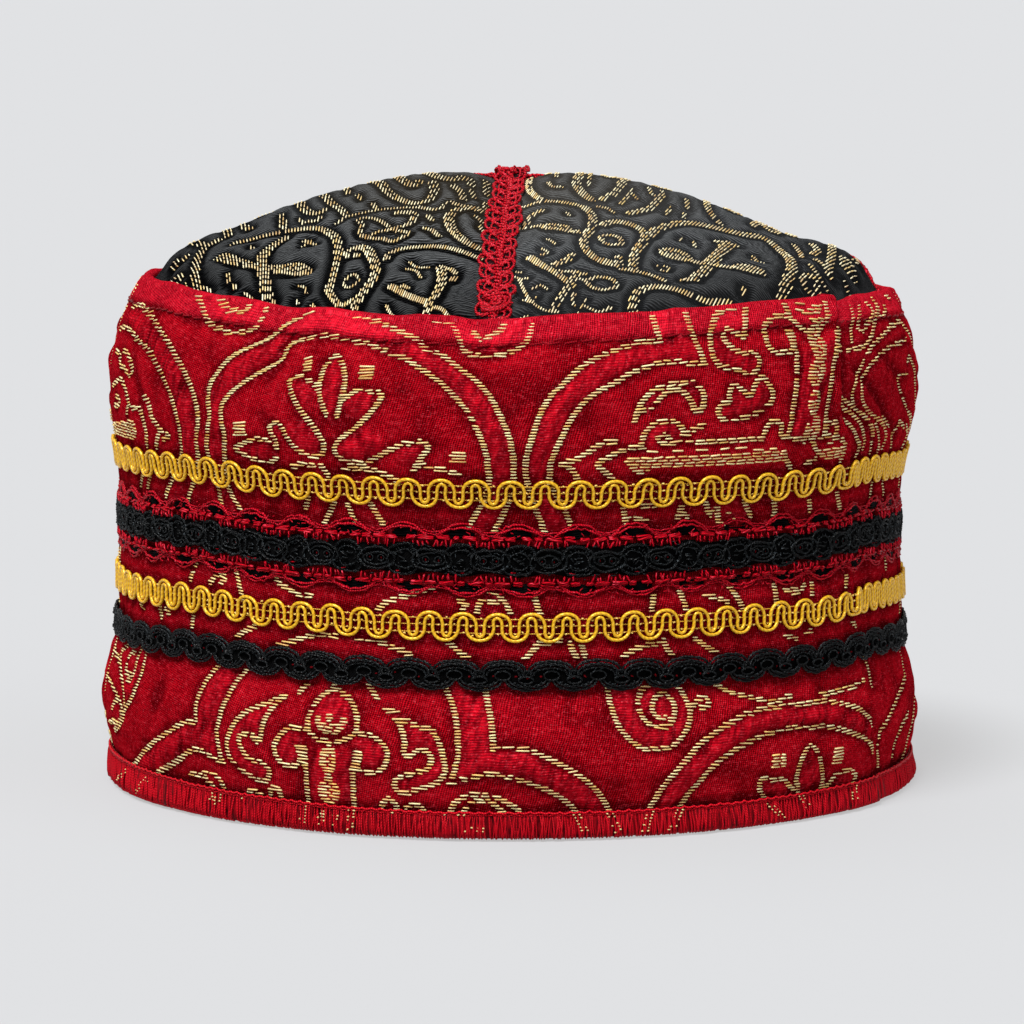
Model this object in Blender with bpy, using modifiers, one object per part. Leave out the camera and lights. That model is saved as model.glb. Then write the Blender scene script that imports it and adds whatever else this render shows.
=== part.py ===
"""Round ceremonial cap: a quilted black crown of four panels let into the
folded rim of a tall red side band, with an overlocked hem and five applied
trims round the band and two braids crossing the crown.

Units in the tables are millimetres and degrees.  A bearing is measured round
the cap from the front (-Y), positive towards the right (+X).  The cap stands
on its hem: z = 0 is the surface it rests on and the Z axis runs up through
the middle of the head opening.
"""
import math

import bmesh
import bpy

MM = 0.001

# ---------------------------------------------------------------- sizes (mm)
SEGMENTS = 56            # facets round the cap, a multiple of four
GAP = 0.3                # clearance between neighbouring pieces
BAND_WALL = 2.4          # brocade, interlining and turned edge
BAND_FOOT = 1.5          # lowest edge of the band, inside the hem
NOMINAL_RIM = 116.5      # rim height that BAND_SECTION is drawn for
TRIM_ZONE_TOP = 83.0     # above this the band takes up the rim's rise and dip

HEM_CLOTH = 1.0          # thickness of the overlocked edge
HEM_OUTSIDE = 6.7        # height of the hem outside the band
HEM_INSIDE = 5.6         # height of the hem inside the band

CROWN_TOP = 143.3        # crown cloth at the centre, before the seam valleys
CROWN_RADIUS = 85.4      # where the crown meets the rim
CROWN_DROP = 0.9         # crown edge below the top of the rim
CROWN_POWER = 2.05       # flat at the centre, steeper at the rim
FRONT_POWER = 1.45       # the same from front to back, where it is more conical
CROWN_WALL = 2.0         # quilted cloth
CROWN_FLANGE = 5.0       # depth of the edge sewn down inside the rim
FLANGE_FLARE = 2.6       # how far the flange leans out on the way down
FRONT_VALLEY = 2.1       # depth of the valley along the front-to-back seam
SIDE_VALLEY = 2.9        # the same along the side-to-side seam
RIM_VALLEY = 1.3         # both get shallower where they reach the rim
SEAM_SPREAD = 6.0        # half-width of those valleys
SHOULDER_LEFT = 2.2      # fullness of the crown just inside the rim
SHOULDER_RIGHT = 4.0
SEAM_SWELL = 1.0         # fullness of the panels beside the side seam
SEAM_TILT = 1.3          # the front panels stand higher there than the back
TILT_AT = 12.0           # distance from the seam at which they do so most

BRAID_WIDTH = 7.4        # crochet braid over the crown seams
BRAID_THICK = 1.5
BRAID_LIFT = 0.55        # clearance under the braids

# Section of the band, outside of the cloth, from the hem to the rim.
#   (height, radius)
BAND_SECTION = (
    (0.0, 94.3),         # inside the hem
    (9.0, 95.1),         # top of the hem
    (14.5, 96.2),        # belly over the hem
    (24.0, 95.9),
    (32.8, 93.4),        # lower edge of the black gimp
    (42.3, 92.9),        # between the gimps
    (52.6, 92.6),        # lower edge of the lace
    (58.4, 91.9),        # black gimp on the lace
    (66.2, 91.9),
    (72.4, 92.4),        # upper edge of the lace
    (81.2, 93.9),        # over the upper gold gimp
    (88.0, 95.1),        # belly over the gimp
    (98.5, 94.7),
    (107.0, 93.0),       # line of stitches under the rim
    (112.6, 90.7),
    (116.5, 88.2),       # folded rim
)

# Height of the folded rim.
#   (bearing, height)
RIM_LINE = (
    (-180, 116.0), (-135, 117.6), (-90, 118.6), (-60, 118.4), (-45, 117.2),
    (-30, 115.6), (-15, 114.6), (0, 113.8), (15, 114.7), (30, 115.9),
    (45, 116.9), (60, 116.6), (90, 115.9), (135, 116.4),
)

# The trims rise and fall a little on their way round.
#   (bearing, lift)
TRIM_LINE = (
    (-180, 0.2), (-120, 0.4), (-90, 0.7), (-72, 1.2), (-46, 1.7), (-29, 0.5),
    (-12, -0.1), (15, -0.4), (50, -0.6), (64, 0.1), (82, -0.9), (120, -0.2),
)

# Dents (negative) and bulges (positive) of the soft band.
#   (bearing, height, half-width in bearing, half-height, depth)
BAND_FOLDS = (
    (-92, 18, 34, 16, 0.9),      # left lower belly
    (-88, 62, 30, 26, 1.0),      # left side stands out at the waist
    (88, 60, 26, 24, -0.5),      # right side is drawn in at the waist
    (-36, 101, 9, 7, -0.9),      # pucker under the rim, left
    (-6, 100, 7, 8, -1.1),       # pucker beside the front seam
    (74, 98, 6, 13, -0.8),       # slanting creases behind the overlap
    (88, 92, 5, 12, 0.6),
    (70, 24, 10, 12, -0.6),
    (-58, 16, 12, 9, -0.5),
    (-20, 20, 16, 9, 0.4),
    (32, 18, 14, 9, -0.4),
    (135, 95, 22, 14, -0.6),
    (178, 22, 20, 12, -0.5),
    (-140, 90, 24, 14, 0.5),
)

# The band is one strip: its left end laps over its right end along a line
# that leans back towards the hem.
OVERLAP_TOP = 56.0       # bearing of the lap at the rim
OVERLAP_FOOT = 63.6      # bearing of the lap at the hem
OVERLAP_STEP = 0.8       # how far the upper end stands proud
OVERLAP_FADE = 26.0      # bearing over which it settles back

# Applied trims that run right round the band.
#   (name, lower edge, upper edge, distance off the cloth, thickness)
BAND_TRIMS = (
    ("black_gimp_lower", 33.2, 41.0, GAP, 1.3),
    ("gold_gimp_lower", 44.1, 50.9, GAP, 0.9),
    ("lace_red", 54.2, 70.6, GAP, 0.5),
    ("black_gimp_middle", 58.6, 66.0, 2 * GAP + 0.5, 1.2),
    ("gold_gimp_upper", 73.4, 80.2, GAP, 0.9),
)

# colour, roughness, metallic
FINISHES = {
    "red_brocade": ((0.45, 0.006, 0.018, 1.0), 0.55, 0.0),
    "black_brocade": ((0.012, 0.013, 0.015, 1.0), 0.50, 0.0),
    "red_crochet": ((0.42, 0.004, 0.03, 1.0), 0.70, 0.0),
    "gold_gimp": ((0.62, 0.38, 0.03, 1.0), 0.35, 0.35),
    "black_gimp": ((0.008, 0.010, 0.010, 1.0), 0.60, 0.0),
}


# ------------------------------------------------------------------- helpers
def clear_scene():
    for obj in list(bpy.data.objects):
        bpy.data.objects.remove(obj, do_unlink=True)


def smooth(t):
    t = min(1.0, max(0.0, t))
    return t * t * (3.0 - 2.0 * t)


def along(table, value):
    """Straight-line reading of a two-column table."""
    if value <= table[0][0]:
        return table[0][1]
    for (a, va), (b, vb) in zip(table, table[1:]):
        if value <= b:
            return va + (vb - va) * (value - a) / (b - a)
    return table[-1][1]


def wrap(angle):
    return (angle + 180.0) % 360.0 - 180.0


def round_table(table, bearing):
    """Smooth reading of a table of bearings that closes on itself."""
    bearing = wrap(bearing)
    rows = list(table) + [(table[0][0] + 360.0, table[0][1])]
    for (a, va), (b, vb) in zip(rows, rows[1:]):
        if a <= bearing <= b:
            return va + (vb - va) * smooth((bearing - a) / (b - a))
    return table[0][1]


# --------------------------------------------------------- shape of the band
def band_height(bearing, section_height):
    """Real height of a height on the nominal section."""
    hem = smooth(section_height / 30.0)
    lift = round_table(TRIM_LINE, bearing) * hem
    top = smooth((section_height - TRIM_ZONE_TOP)
                 / (NOMINAL_RIM - TRIM_ZONE_TOP))
    rise = round_table(RIM_LINE, bearing) - NOMINAL_RIM
    return section_height + lift * (1.0 - top) + rise * top


def overlap_offset(bearing, section_height):
    share = section_height / NOMINAL_RIM
    lap = OVERLAP_FOOT + (OVERLAP_TOP - OVERLAP_FOOT) * share
    behind = wrap(lap - bearing)
    if behind < 0.0 or behind > OVERLAP_FADE:
        return 0.0
    return OVERLAP_STEP * (1.0 - smooth(behind / OVERLAP_FADE))


def band_radius(bearing, section_height):
    """Outside of the band's cloth."""
    radius = along(BAND_SECTION, section_height)
    radius += overlap_offset(bearing, section_height)
    for at, height, half_wide, half_high, depth in BAND_FOLDS:
        u = wrap(bearing - at) / half_wide
        v = (section_height - height) / half_high
        radius += depth * math.exp(-u * u - v * v)
    return radius


def on_band(bearing, section_height, off=0.0):
    radius = band_radius(bearing, section_height) + off
    a = math.radians(bearing)
    return (radius * math.sin(a) * MM, -radius * math.cos(a) * MM,
            band_height(bearing, section_height) * MM)


# -------------------------------------------------------- shape of the crown
def crown_edge(bearing):
    return round_table(RIM_LINE, bearing) - CROWN_DROP


def crown_height(x, y):
    """Outside of the crown's cloth over the point (x, y), in mm."""
    radius = math.hypot(x, y)
    bearing = math.degrees(math.atan2(x, -y))
    ahead = math.cos(math.radians(bearing)) ** 2
    power = CROWN_POWER + (FRONT_POWER - CROWN_POWER) * ahead
    share = min(radius / CROWN_RADIUS, 1.0) ** power
    height = CROWN_TOP - (CROWN_TOP - crown_edge(bearing)) * share
    shoulder = SHOULDER_RIGHT if x > 0 else SHOULDER_LEFT
    height += (shoulder * (1.0 - ahead)
               * math.exp(-((radius - 80.0) / 10.0) ** 2)
               * (1.0 - smooth((radius - 80.0) / 5.4)))
    height += (SEAM_SWELL * math.exp(-((abs(y) - 13.0) / 7.0) ** 2)
               * smooth((abs(x) - 6.0) / 14.0)
               * (1.0 - smooth((radius - 70.0) / 14.0)))
    height -= (SEAM_TILT * y / TILT_AT
               * math.exp(0.5 - 0.5 * (y / TILT_AT) ** 2)
               * smooth((abs(x) - 2.0) / 9.0)
               * (1.0 - smooth((radius - 76.0) / 9.0)))
    near_rim = smooth((radius - 68.0) / 16.0)
    front = FRONT_VALLEY + (RIM_VALLEY - FRONT_VALLEY) * near_rim
    side = SIDE_VALLEY + (RIM_VALLEY - SIDE_VALLEY) * near_rim
    valley = max(front * math.exp(-(x / SEAM_SPREAD) ** 2),
                 side * math.exp(-(y / SEAM_SPREAD) ** 2))
    return height - valley


def lean(x, y):
    """Cosine of the crown's slope away from the middle at (x, y)."""
    radius = math.hypot(x, y)
    if radius < 1.0:
        return 1.0
    step = 1.0 / radius
    fall = (crown_height(x * (1 - step), y * (1 - step))
            - crown_height(x, y))
    return 1.0 / math.hypot(1.0, fall)


# ------------------------------------------------------------------ building
def finish(name):
    colour, rough, metal = FINISHES[name]
    mat = bpy.data.materials.get(name) or bpy.data.materials.new(name)
    mat.use_nodes = True
    bsdf = mat.node_tree.nodes["Principled BSDF"]
    bsdf.inputs["Base Color"].default_value = colour
    bsdf.inputs["Roughness"].default_value = rough
    bsdf.inputs["Metallic"].default_value = metal
    mat.diffuse_color = colour
    return mat


def add_shell(name, bm, material, thickness, collection, parent):
    """Turns an open surface into a closed shell with Solidify."""
    mesh = bpy.data.meshes.new(name)
    bm.to_mesh(mesh)
    bm.free()
    mesh.shade_smooth()
    mesh.set_sharp_from_angle(angle=math.radians(40.0))
    obj = bpy.data.objects.new(name, mesh)
    collection.objects.link(obj)
    obj.parent = parent
    mesh.materials.append(finish(material))
    solid = obj.modifiers.new("cloth", "SOLIDIFY")
    solid.thickness = thickness * MM
    solid.offset = -1.0
    solid.use_even_offset = True
    return obj


def open_tube(rows):
    """An upright open tube with SEGMENTS sides and the given row heights.

    It starts as an uncapped cone of unit size, cut across between its ends;
    the caller then moves its points to where the cloth lies.
    """
    bm = bmesh.new()
    bmesh.ops.create_cone(bm, cap_ends=False, segments=SEGMENTS, radius1=1.0,
                          radius2=1.0, depth=1.0)
    uprights = [e for e in bm.edges
                if abs(e.verts[0].co.z - e.verts[1].co.z) > 0.5]
    if rows > 2:
        bmesh.ops.subdivide_edges(bm, edges=uprights, cuts=rows - 2,
                                  use_grid_fill=True)
    return bm


def shape_tube(bm, rows, place):
    """Moves row i of the tube, at each bearing, to place(bearing, i)."""
    for vert in bm.verts:
        bearing = math.degrees(math.atan2(vert.co.x, -vert.co.y))
        row = round((vert.co.z + 0.5) * (rows - 1))
        vert.co = place(bearing, row)
    bm.normal_update()


def outward(bm):
    """Points the faces of an upright tube away from the middle."""
    bmesh.ops.recalc_face_normals(bm, faces=bm.faces)
    face = max(bm.faces, key=lambda f: f.calc_center_median().xy.length)
    centre = face.calc_center_median()
    if face.normal.x * centre.x + face.normal.y * centre.y < 0.0:
        bmesh.ops.reverse_faces(bm, faces=bm.faces)


def build_band(collection, parent):
    heights = [BAND_FOOT] + [row[0] for row in BAND_SECTION[1:]]
    bm = open_tube(len(heights))
    shape_tube(bm, len(heights), lambda b, i: on_band(b, heights[i]))
    outward(bm)
    add_shell("side_band", bm, "red_brocade", BAND_WALL, collection, parent)


def build_hem(collection, parent):
    """A channel round the foot of the band, with a flat base at z = 0."""
    outer = GAP + HEM_CLOTH
    inner = -(BAND_WALL + GAP + HEM_CLOTH)
    #   (section height, distance off the band's outside)
    # the hem is a little wider on the left side than on the right
    section = (
        (HEM_OUTSIDE, outer), (1.1, outer + 0.1),
        (0.0, outer - 0.9), (0.0, inner + 0.9), (1.1, inner),
        (HEM_INSIDE, inner),
    )
    last = len(section) - 1

    def place(bearing, row):
        height, off = section[last - row]
        grow = 1.0 - 0.12 * math.sin(math.radians(bearing))
        x, y, z = on_band(bearing, max(height, 0.01), off)
        return (x, y, height * MM * (grow if height > 4.5 else 1.0))

    bm = open_tube(len(section))
    shape_tube(bm, len(section), place)
    bmesh.ops.recalc_face_normals(bm, faces=bm.faces)
    low = min(bm.faces, key=lambda f: f.calc_center_median().z)
    if low.normal.z > 0.0:
        bmesh.ops.reverse_faces(bm, faces=bm.faces)
    add_shell("bottom_hem", bm, "red_brocade", HEM_CLOTH, collection, parent)


def build_band_trims(collection, parent):
    finishes = {"gold": "gold_gimp", "black": "black_gimp",
                "lace": "red_crochet"}
    for name, low, high, off, thick in BAND_TRIMS:
        breaks = [row[0] for row in BAND_SECTION if low < row[0] < high]
        heights = [low] + breaks + [high]
        bm = open_tube(len(heights))
        shape_tube(bm, len(heights),
                   lambda b, i: on_band(b, heights[i], off + thick))
        outward(bm)
        add_shell(name, bm, finishes[name.split("_")[0]], thick, collection,
                  parent)


def build_crown(collection, parent):
    """Four quilted panels that meet along the two crown seams."""
    half_gap = GAP / 2.0
    around = SEGMENTS // 4
    rows = 7                      # over the dome
    flange = 2                    # down inside the rim
    for name, sx, sy in (("crown_front_left", -1, -1),
                         ("crown_front_right", 1, -1),
                         ("crown_back_left", -1, 1),
                         ("crown_back_right", 1, 1)):
        bm = bmesh.new()
        bmesh.ops.create_grid(bm, x_segments=around,
                              y_segments=rows + flange, size=0.5)
        for vert in bm.verts:
            turn = (vert.co.x + 0.5) * math.pi / 2.0
            row = round((vert.co.y + 0.5) * (rows + flange))
            ux, uy = math.cos(turn), math.sin(turn)
            # distance from the panel's own corner out to the rim circle
            b = half_gap * (ux + uy)
            reach = -b + math.sqrt(b * b + CROWN_RADIUS ** 2
                                   - 2.0 * half_gap ** 2)
            dome_share = min(row, rows) / rows
            s = reach * dome_share ** 0.8
            x, y = half_gap + s * ux, half_gap + s * uy
            z = crown_height(sx * x, sy * y)
            if row > rows:
                down = (row - rows) / flange
                grow = 1.0 + FLANGE_FLARE * down / CROWN_RADIUS
                x = half_gap + (x - half_gap) * grow
                y = half_gap + (y - half_gap) * grow
                z -= CROWN_FLANGE * down
            vert.co = (sx * x * MM, sy * y * MM, z * MM)
        bmesh.ops.remove_doubles(bm, verts=bm.verts, dist=0.00005)
        bmesh.ops.recalc_face_normals(bm, faces=bm.faces)
        top = max(bm.faces, key=lambda f: f.calc_center_median().z)
        if top.normal.z < 0.0:
            bmesh.ops.reverse_faces(bm, faces=bm.faces)
        add_shell(name, bm, "black_brocade", CROWN_WALL, collection, parent)


def build_braids(collection, parent):
    """Two flat braids over the crown seams; the front-to-back one is on top.

    Each starts as a grid: its length over the crown in 32 steps, its width
    in 2, lying on the cloth.
    """
    half = BRAID_WIDTH / 2.0
    reach = CROWN_RADIUS - 0.4
    for name, under in (("braid_side_to_side", True),
                        ("braid_front_back", False)):
        bm = bmesh.new()
        bmesh.ops.create_grid(bm, x_segments=2, y_segments=32, size=0.5)
        for vert in bm.verts:
            across = vert.co.x * BRAID_WIDTH
            # the ends follow the round of the rim
            limit = math.sqrt(reach ** 2 - across ** 2)
            length = vert.co.y * 2.0 * limit
            x, y = (length, across) if under else (across, length)
            z = crown_height(x, y) + (BRAID_LIFT + BRAID_THICK) / lean(x, y)
            if not under:
                hump = smooth((half + 4.6 - abs(y)) / 4.2)
                z += (BRAID_THICK + GAP + 0.4) * hump
            vert.co = (x * MM, y * MM, z * MM)
        bmesh.ops.recalc_face_normals(bm, faces=bm.faces)
        top = max(bm.faces, key=lambda f: f.calc_center_median().z)
        if top.normal.z < 0.0:
            bmesh.ops.reverse_faces(bm, faces=bm.faces)
        add_shell(name, bm, "red_crochet", BRAID_THICK, collection, parent)


def main():
    clear_scene()
    collection = bpy.data.collections.new("ceremonial_cap")
    bpy.context.scene.collection.children.link(collection)
    root = bpy.data.objects.new("cap", None)
    collection.objects.link(root)
    build_band(collection, root)
    build_hem(collection, root)
    build_band_trims(collection, root)
    build_crown(collection, root)
    build_braids(collection, root)


main()
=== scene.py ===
"""Looks of the round ceremonial cap: brocade band and crown, gold floats,
gold and black gimps, crochet lace and braid, overlocked hem."""

import math

import bpy
import numpy as np
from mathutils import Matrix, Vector, kdtree


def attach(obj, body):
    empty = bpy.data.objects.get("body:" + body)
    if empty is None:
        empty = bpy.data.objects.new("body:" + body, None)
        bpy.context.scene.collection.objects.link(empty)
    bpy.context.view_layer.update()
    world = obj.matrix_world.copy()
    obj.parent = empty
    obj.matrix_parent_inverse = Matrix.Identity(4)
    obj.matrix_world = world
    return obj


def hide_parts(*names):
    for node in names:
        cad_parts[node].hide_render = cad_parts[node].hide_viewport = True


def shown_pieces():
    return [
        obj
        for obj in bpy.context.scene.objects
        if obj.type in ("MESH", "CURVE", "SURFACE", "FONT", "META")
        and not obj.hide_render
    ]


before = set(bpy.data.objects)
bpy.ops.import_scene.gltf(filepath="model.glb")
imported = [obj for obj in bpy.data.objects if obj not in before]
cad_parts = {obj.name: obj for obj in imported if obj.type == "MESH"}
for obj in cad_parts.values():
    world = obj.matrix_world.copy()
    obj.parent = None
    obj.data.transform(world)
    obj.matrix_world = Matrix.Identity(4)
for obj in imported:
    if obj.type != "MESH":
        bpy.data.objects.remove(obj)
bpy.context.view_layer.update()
MM = 0.001
scene = bpy.context.scene
scene.view_settings.view_transform = "Standard"
scene.view_settings.look = "None"

# ---------------------------------------------------------------- the shape
# (section height, radius) of the band's outside, in mm
BAND_SECTION = np.array((
    (0.0, 94.3), (9.0, 95.1), (14.5, 96.2), (24.0, 95.9), (32.8, 93.4),
    (42.3, 92.9), (52.6, 92.6), (58.4, 91.9), (66.2, 91.9), (72.4, 92.4),
    (81.2, 93.9), (88.0, 95.1), (98.5, 94.7), (107.0, 93.0), (112.6, 90.7),
    (116.5, 88.2)))
# (bearing, height) of the folded rim
RIM_LINE = (
    (-180, 116.0), (-135, 117.6), (-90, 118.6), (-60, 118.4), (-45, 117.2),
    (-30, 115.6), (-15, 114.6), (0, 113.8), (15, 114.7), (30, 115.9),
    (45, 116.9), (60, 116.6), (90, 115.9), (135, 116.4), (180, 116.0))
# (bearing, lift) of the trims
TRIM_LINE = (
    (-180, 0.2), (-120, 0.4), (-90, 0.7), (-72, 1.2), (-46, 1.7), (-29, 0.5),
    (-12, -0.1), (15, -0.4), (50, -0.6), (64, 0.1), (82, -0.9), (120, -0.2),
    (180, 0.2))
# (bearing, height, half-width, half-height, depth)
BAND_FOLDS = (
    (-92, 18, 34, 16, 0.9), (-88, 62, 30, 26, 1.0), (88, 60, 26, 24, -0.5),
    (-36, 101, 9, 7, -0.9), (-6, 100, 7, 8, -1.1), (74, 98, 6, 13, -0.8),
    (88, 92, 5, 12, 0.6), (70, 24, 10, 12, -0.6), (-58, 16, 12, 9, -0.5),
    (-20, 20, 16, 9, 0.4), (32, 18, 14, 9, -0.4), (135, 95, 22, 14, -0.6),
    (178, 22, 20, 12, -0.5), (-140, 90, 24, 14, 0.5))
NOMINAL_RIM = 116.5
TRIM_ZONE_TOP = 83.0
CROWN_TOP, CROWN_RADIUS, CROWN_DROP = 143.3, 85.4, 0.9
CROWN_POWER, FRONT_POWER = 2.05, 1.45
FRONT_VALLEY, SIDE_VALLEY, RIM_VALLEY, SEAM_SPREAD = 2.1, 2.9, 1.3, 6.0
SHOULDER_LEFT, SHOULDER_RIGHT, SEAM_SWELL = 2.2, 4.0, 1.0
SEAM_TILT, TILT_AT = 1.3, 12.0
LEAN_LEFT, LEAN_RIGHT = 0.5, 1.8
# (section height, bearing) of the lap's edge
LAP_LINE = np.array((
    (0.0, 63.6), (78.0, 58.6), (84.0, 57.4), (89.0, 55.4), (93.0, 54.2),
    (98.0, 54.0), (105.0, 54.3), (112.0, 55.3), (116.5, 57.4)))
OVERLAP_STEP, OVERLAP_FADE = 0.8, 26.0
ROUND = 95.0                       # u = ROUND * bearing, in mm of cloth
GIRTH = 2 * math.pi * ROUND
ROW = 0.7                          # pitch of the gold weft


def smooth(t):
    t = np.clip(t, 0.0, 1.0)
    return t * t * (3.0 - 2.0 * t)


def wrap(angle):
    return (np.asarray(angle, float) + 180.0) % 360.0 - 180.0


def round_table(table, bearing):
    bearing = wrap(bearing)
    out = np.zeros_like(bearing)
    for (a, va), (b, vb) in zip(table[:-1], table[1:]):
        here = (bearing >= a) & (bearing <= b)
        out = np.where(here, va + (vb - va) * smooth((bearing - a) / (b - a)),
                       out)
    return out


def rim_line(bearing):
    """Height of the rim; the fold sinks a little behind the crown."""
    b = wrap(bearing)
    return (round_table(RIM_LINE, bearing)
            - 1.5 * np.exp(-((b - 112.0) / 30.0) ** 2)
            - 0.9 * np.exp(-((b + 118.0) / 26.0) ** 2))


def band_height(bearing, s):
    s = np.asarray(s, float)
    lift = round_table(TRIM_LINE, bearing) * smooth(s / 30.0)
    top = smooth((s - TRIM_ZONE_TOP) / (NOMINAL_RIM - TRIM_ZONE_TOP))
    rise = rim_line(bearing) - NOMINAL_RIM
    return s + lift * (1.0 - top) + rise * top


def lap_bearing(s):
    return np.interp(s, LAP_LINE[:, 0], LAP_LINE[:, 1])


def lap_full(s):
    """The lap stands open near the rim and lies nearly flat below."""
    return 0.25 + 0.75 * smooth((np.asarray(s, float) - 90.0) / 7.0)


def plain_radius(bearing, s):
    """Outside of the band without the step at its lap."""
    r = np.interp(s, BAND_SECTION[:, 0], BAND_SECTION[:, 1])
    for at, h, half_wide, half_high, depth in BAND_FOLDS:
        r = r + depth * np.exp(-(wrap(bearing - at) / half_wide) ** 2
                               - ((s - h) / half_high) ** 2)
    # the rim leans over to the right a little
    right = np.sin(np.radians(bearing))
    return r + smooth((np.asarray(s) - 88.0) / 26.0) * right * np.where(
        right > 0, LEAN_RIGHT, LEAN_LEFT)


def lap_step(bearing, s):
    behind = wrap(lap_bearing(s) - bearing)
    inside = (behind >= 0) & (behind <= OVERLAP_FADE)
    return np.where(inside,
                    OVERLAP_STEP * (1 - smooth(behind / OVERLAP_FADE)), 0.0)


def crown_height(x, y):
    x, y = np.asarray(x, float), np.asarray(y, float)
    r = np.hypot(x, y)
    bearing = np.degrees(np.arctan2(x, -y))
    ahead = np.cos(np.radians(bearing)) ** 2
    power = CROWN_POWER + (FRONT_POWER - CROWN_POWER) * ahead
    share = np.minimum(r / CROWN_RADIUS, 1.0) ** power
    edge = round_table(RIM_LINE, bearing) - CROWN_DROP
    h = CROWN_TOP - (CROWN_TOP - edge) * share
    h = h + (np.where(x > 0, SHOULDER_RIGHT, SHOULDER_LEFT) * (1 - ahead)
             * np.exp(-((r - 80.0) / 10.0) ** 2)
             * (1 - smooth((r - 80.0) / 5.4)))
    h = h + (SEAM_SWELL * np.exp(-((np.abs(y) - 13.0) / 7.0) ** 2)
             * smooth((np.abs(x) - 6.0) / 14.0)
             * (1 - smooth((r - 70.0) / 14.0)))
    h = h - (SEAM_TILT * y / TILT_AT * np.exp(0.5 - 0.5 * (y / TILT_AT) ** 2)
             * smooth((np.abs(x) - 2.0) / 9.0)
             * (1 - smooth((r - 76.0) / 9.0)))
    near_rim = smooth((r - 68.0) / 16.0)
    front = FRONT_VALLEY + (RIM_VALLEY - FRONT_VALLEY) * near_rim
    side = SIDE_VALLEY + (RIM_VALLEY - SIDE_VALLEY) * near_rim
    return h - np.maximum(front * np.exp(-(x / SEAM_SPREAD) ** 2),
                          side * np.exp(-(y / SEAM_SPREAD) ** 2))


# -------------------------------------------------------------------- noise
def ripple(x, y, seed, period_x=None):
    """Smooth value noise in -1..1; one bump a unit."""
    x, y = np.asarray(x, float), np.asarray(y, float)
    table = np.random.default_rng(seed).uniform(-1, 1, (257, 257))
    xi, yi = np.floor(x).astype(int), np.floor(y).astype(int)
    fx, fy = smooth(x - xi), smooth(y - yi)
    m = period_x if period_x else 257
    x0, x1 = xi % m % 257, (xi + 1) % m % 257
    y0, y1 = yi % 257, (yi + 1) % 257
    a = table[x0, y0] * (1 - fx) + table[x1, y0] * fx
    b = table[x0, y1] * (1 - fx) + table[x1, y1] * fx
    return a * (1 - fy) + b * fy


def cloth_noise(u, v, size_u, size_v, seed):
    n = max(2, int(round(GIRTH / size_u)))
    return ripple((np.asarray(u) + GIRTH) / GIRTH * n, np.asarray(v) / size_v,
                  seed, n)


# ------------------------------------------------------------------- meshes
def new_mesh(name, verts, faces, mats, uv=None, attrs=None, pick=None,
             body="root", take=None):
    """A piece from arrays: verts in mm, faces of one size."""
    mesh = bpy.data.meshes.new(name)
    verts = np.asarray(verts, float).reshape(-1, 3) * MM
    faces = np.asarray(faces, np.int32)
    count, size = faces.shape
    mesh.vertices.add(len(verts))
    mesh.vertices.foreach_set("co", verts.ravel())
    mesh.loops.add(faces.size)
    mesh.loops.foreach_set("vertex_index", faces.ravel())
    mesh.polygons.add(count)
    mesh.polygons.foreach_set("loop_start",
                              np.arange(0, faces.size, size, dtype=np.int32))
    mats = mats if isinstance(mats, (list, tuple)) else [mats]
    for m in mats:
        mesh.materials.append(m)
    if pick is not None:
        mesh.polygons.foreach_set("material_index",
                                  np.asarray(pick, np.int32))
    mesh.update(calc_edges=True)
    mesh.polygons.foreach_set("use_smooth", np.ones(count, bool))
    if uv is not None:
        layer = mesh.uv_layers.new(name="Cloth")
        layer.data.foreach_set("uv", np.asarray(uv, np.float32)[
            faces.ravel()].ravel())
    for key, values in (attrs or {}).items():
        a = mesh.attributes.new(key, "FLOAT", "POINT")
        a.data.foreach_set("value", np.asarray(values, np.float32))
    obj = bpy.data.objects.new(name, mesh)
    scene.collection.objects.link(obj)
    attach(obj, body)
    return obj


def grid_faces(columns, rows, close_columns=False, close_rows=False):
    """Faces of a grid whose vertex (i, j) is i * rows + j; i runs with j
    such that the normal is (along i) x (along j)."""
    i = np.arange(columns if close_columns else columns - 1)
    j = np.arange(rows if close_rows else rows - 1)
    i, j = np.meshgrid(i, j, indexing="ij")
    i2, j2 = (i + 1) % columns, (j + 1) % rows
    return np.stack([i * rows + j, i2 * rows + j, i2 * rows + j2,
                     i * rows + j2], -1).reshape(-1, 4)


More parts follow.
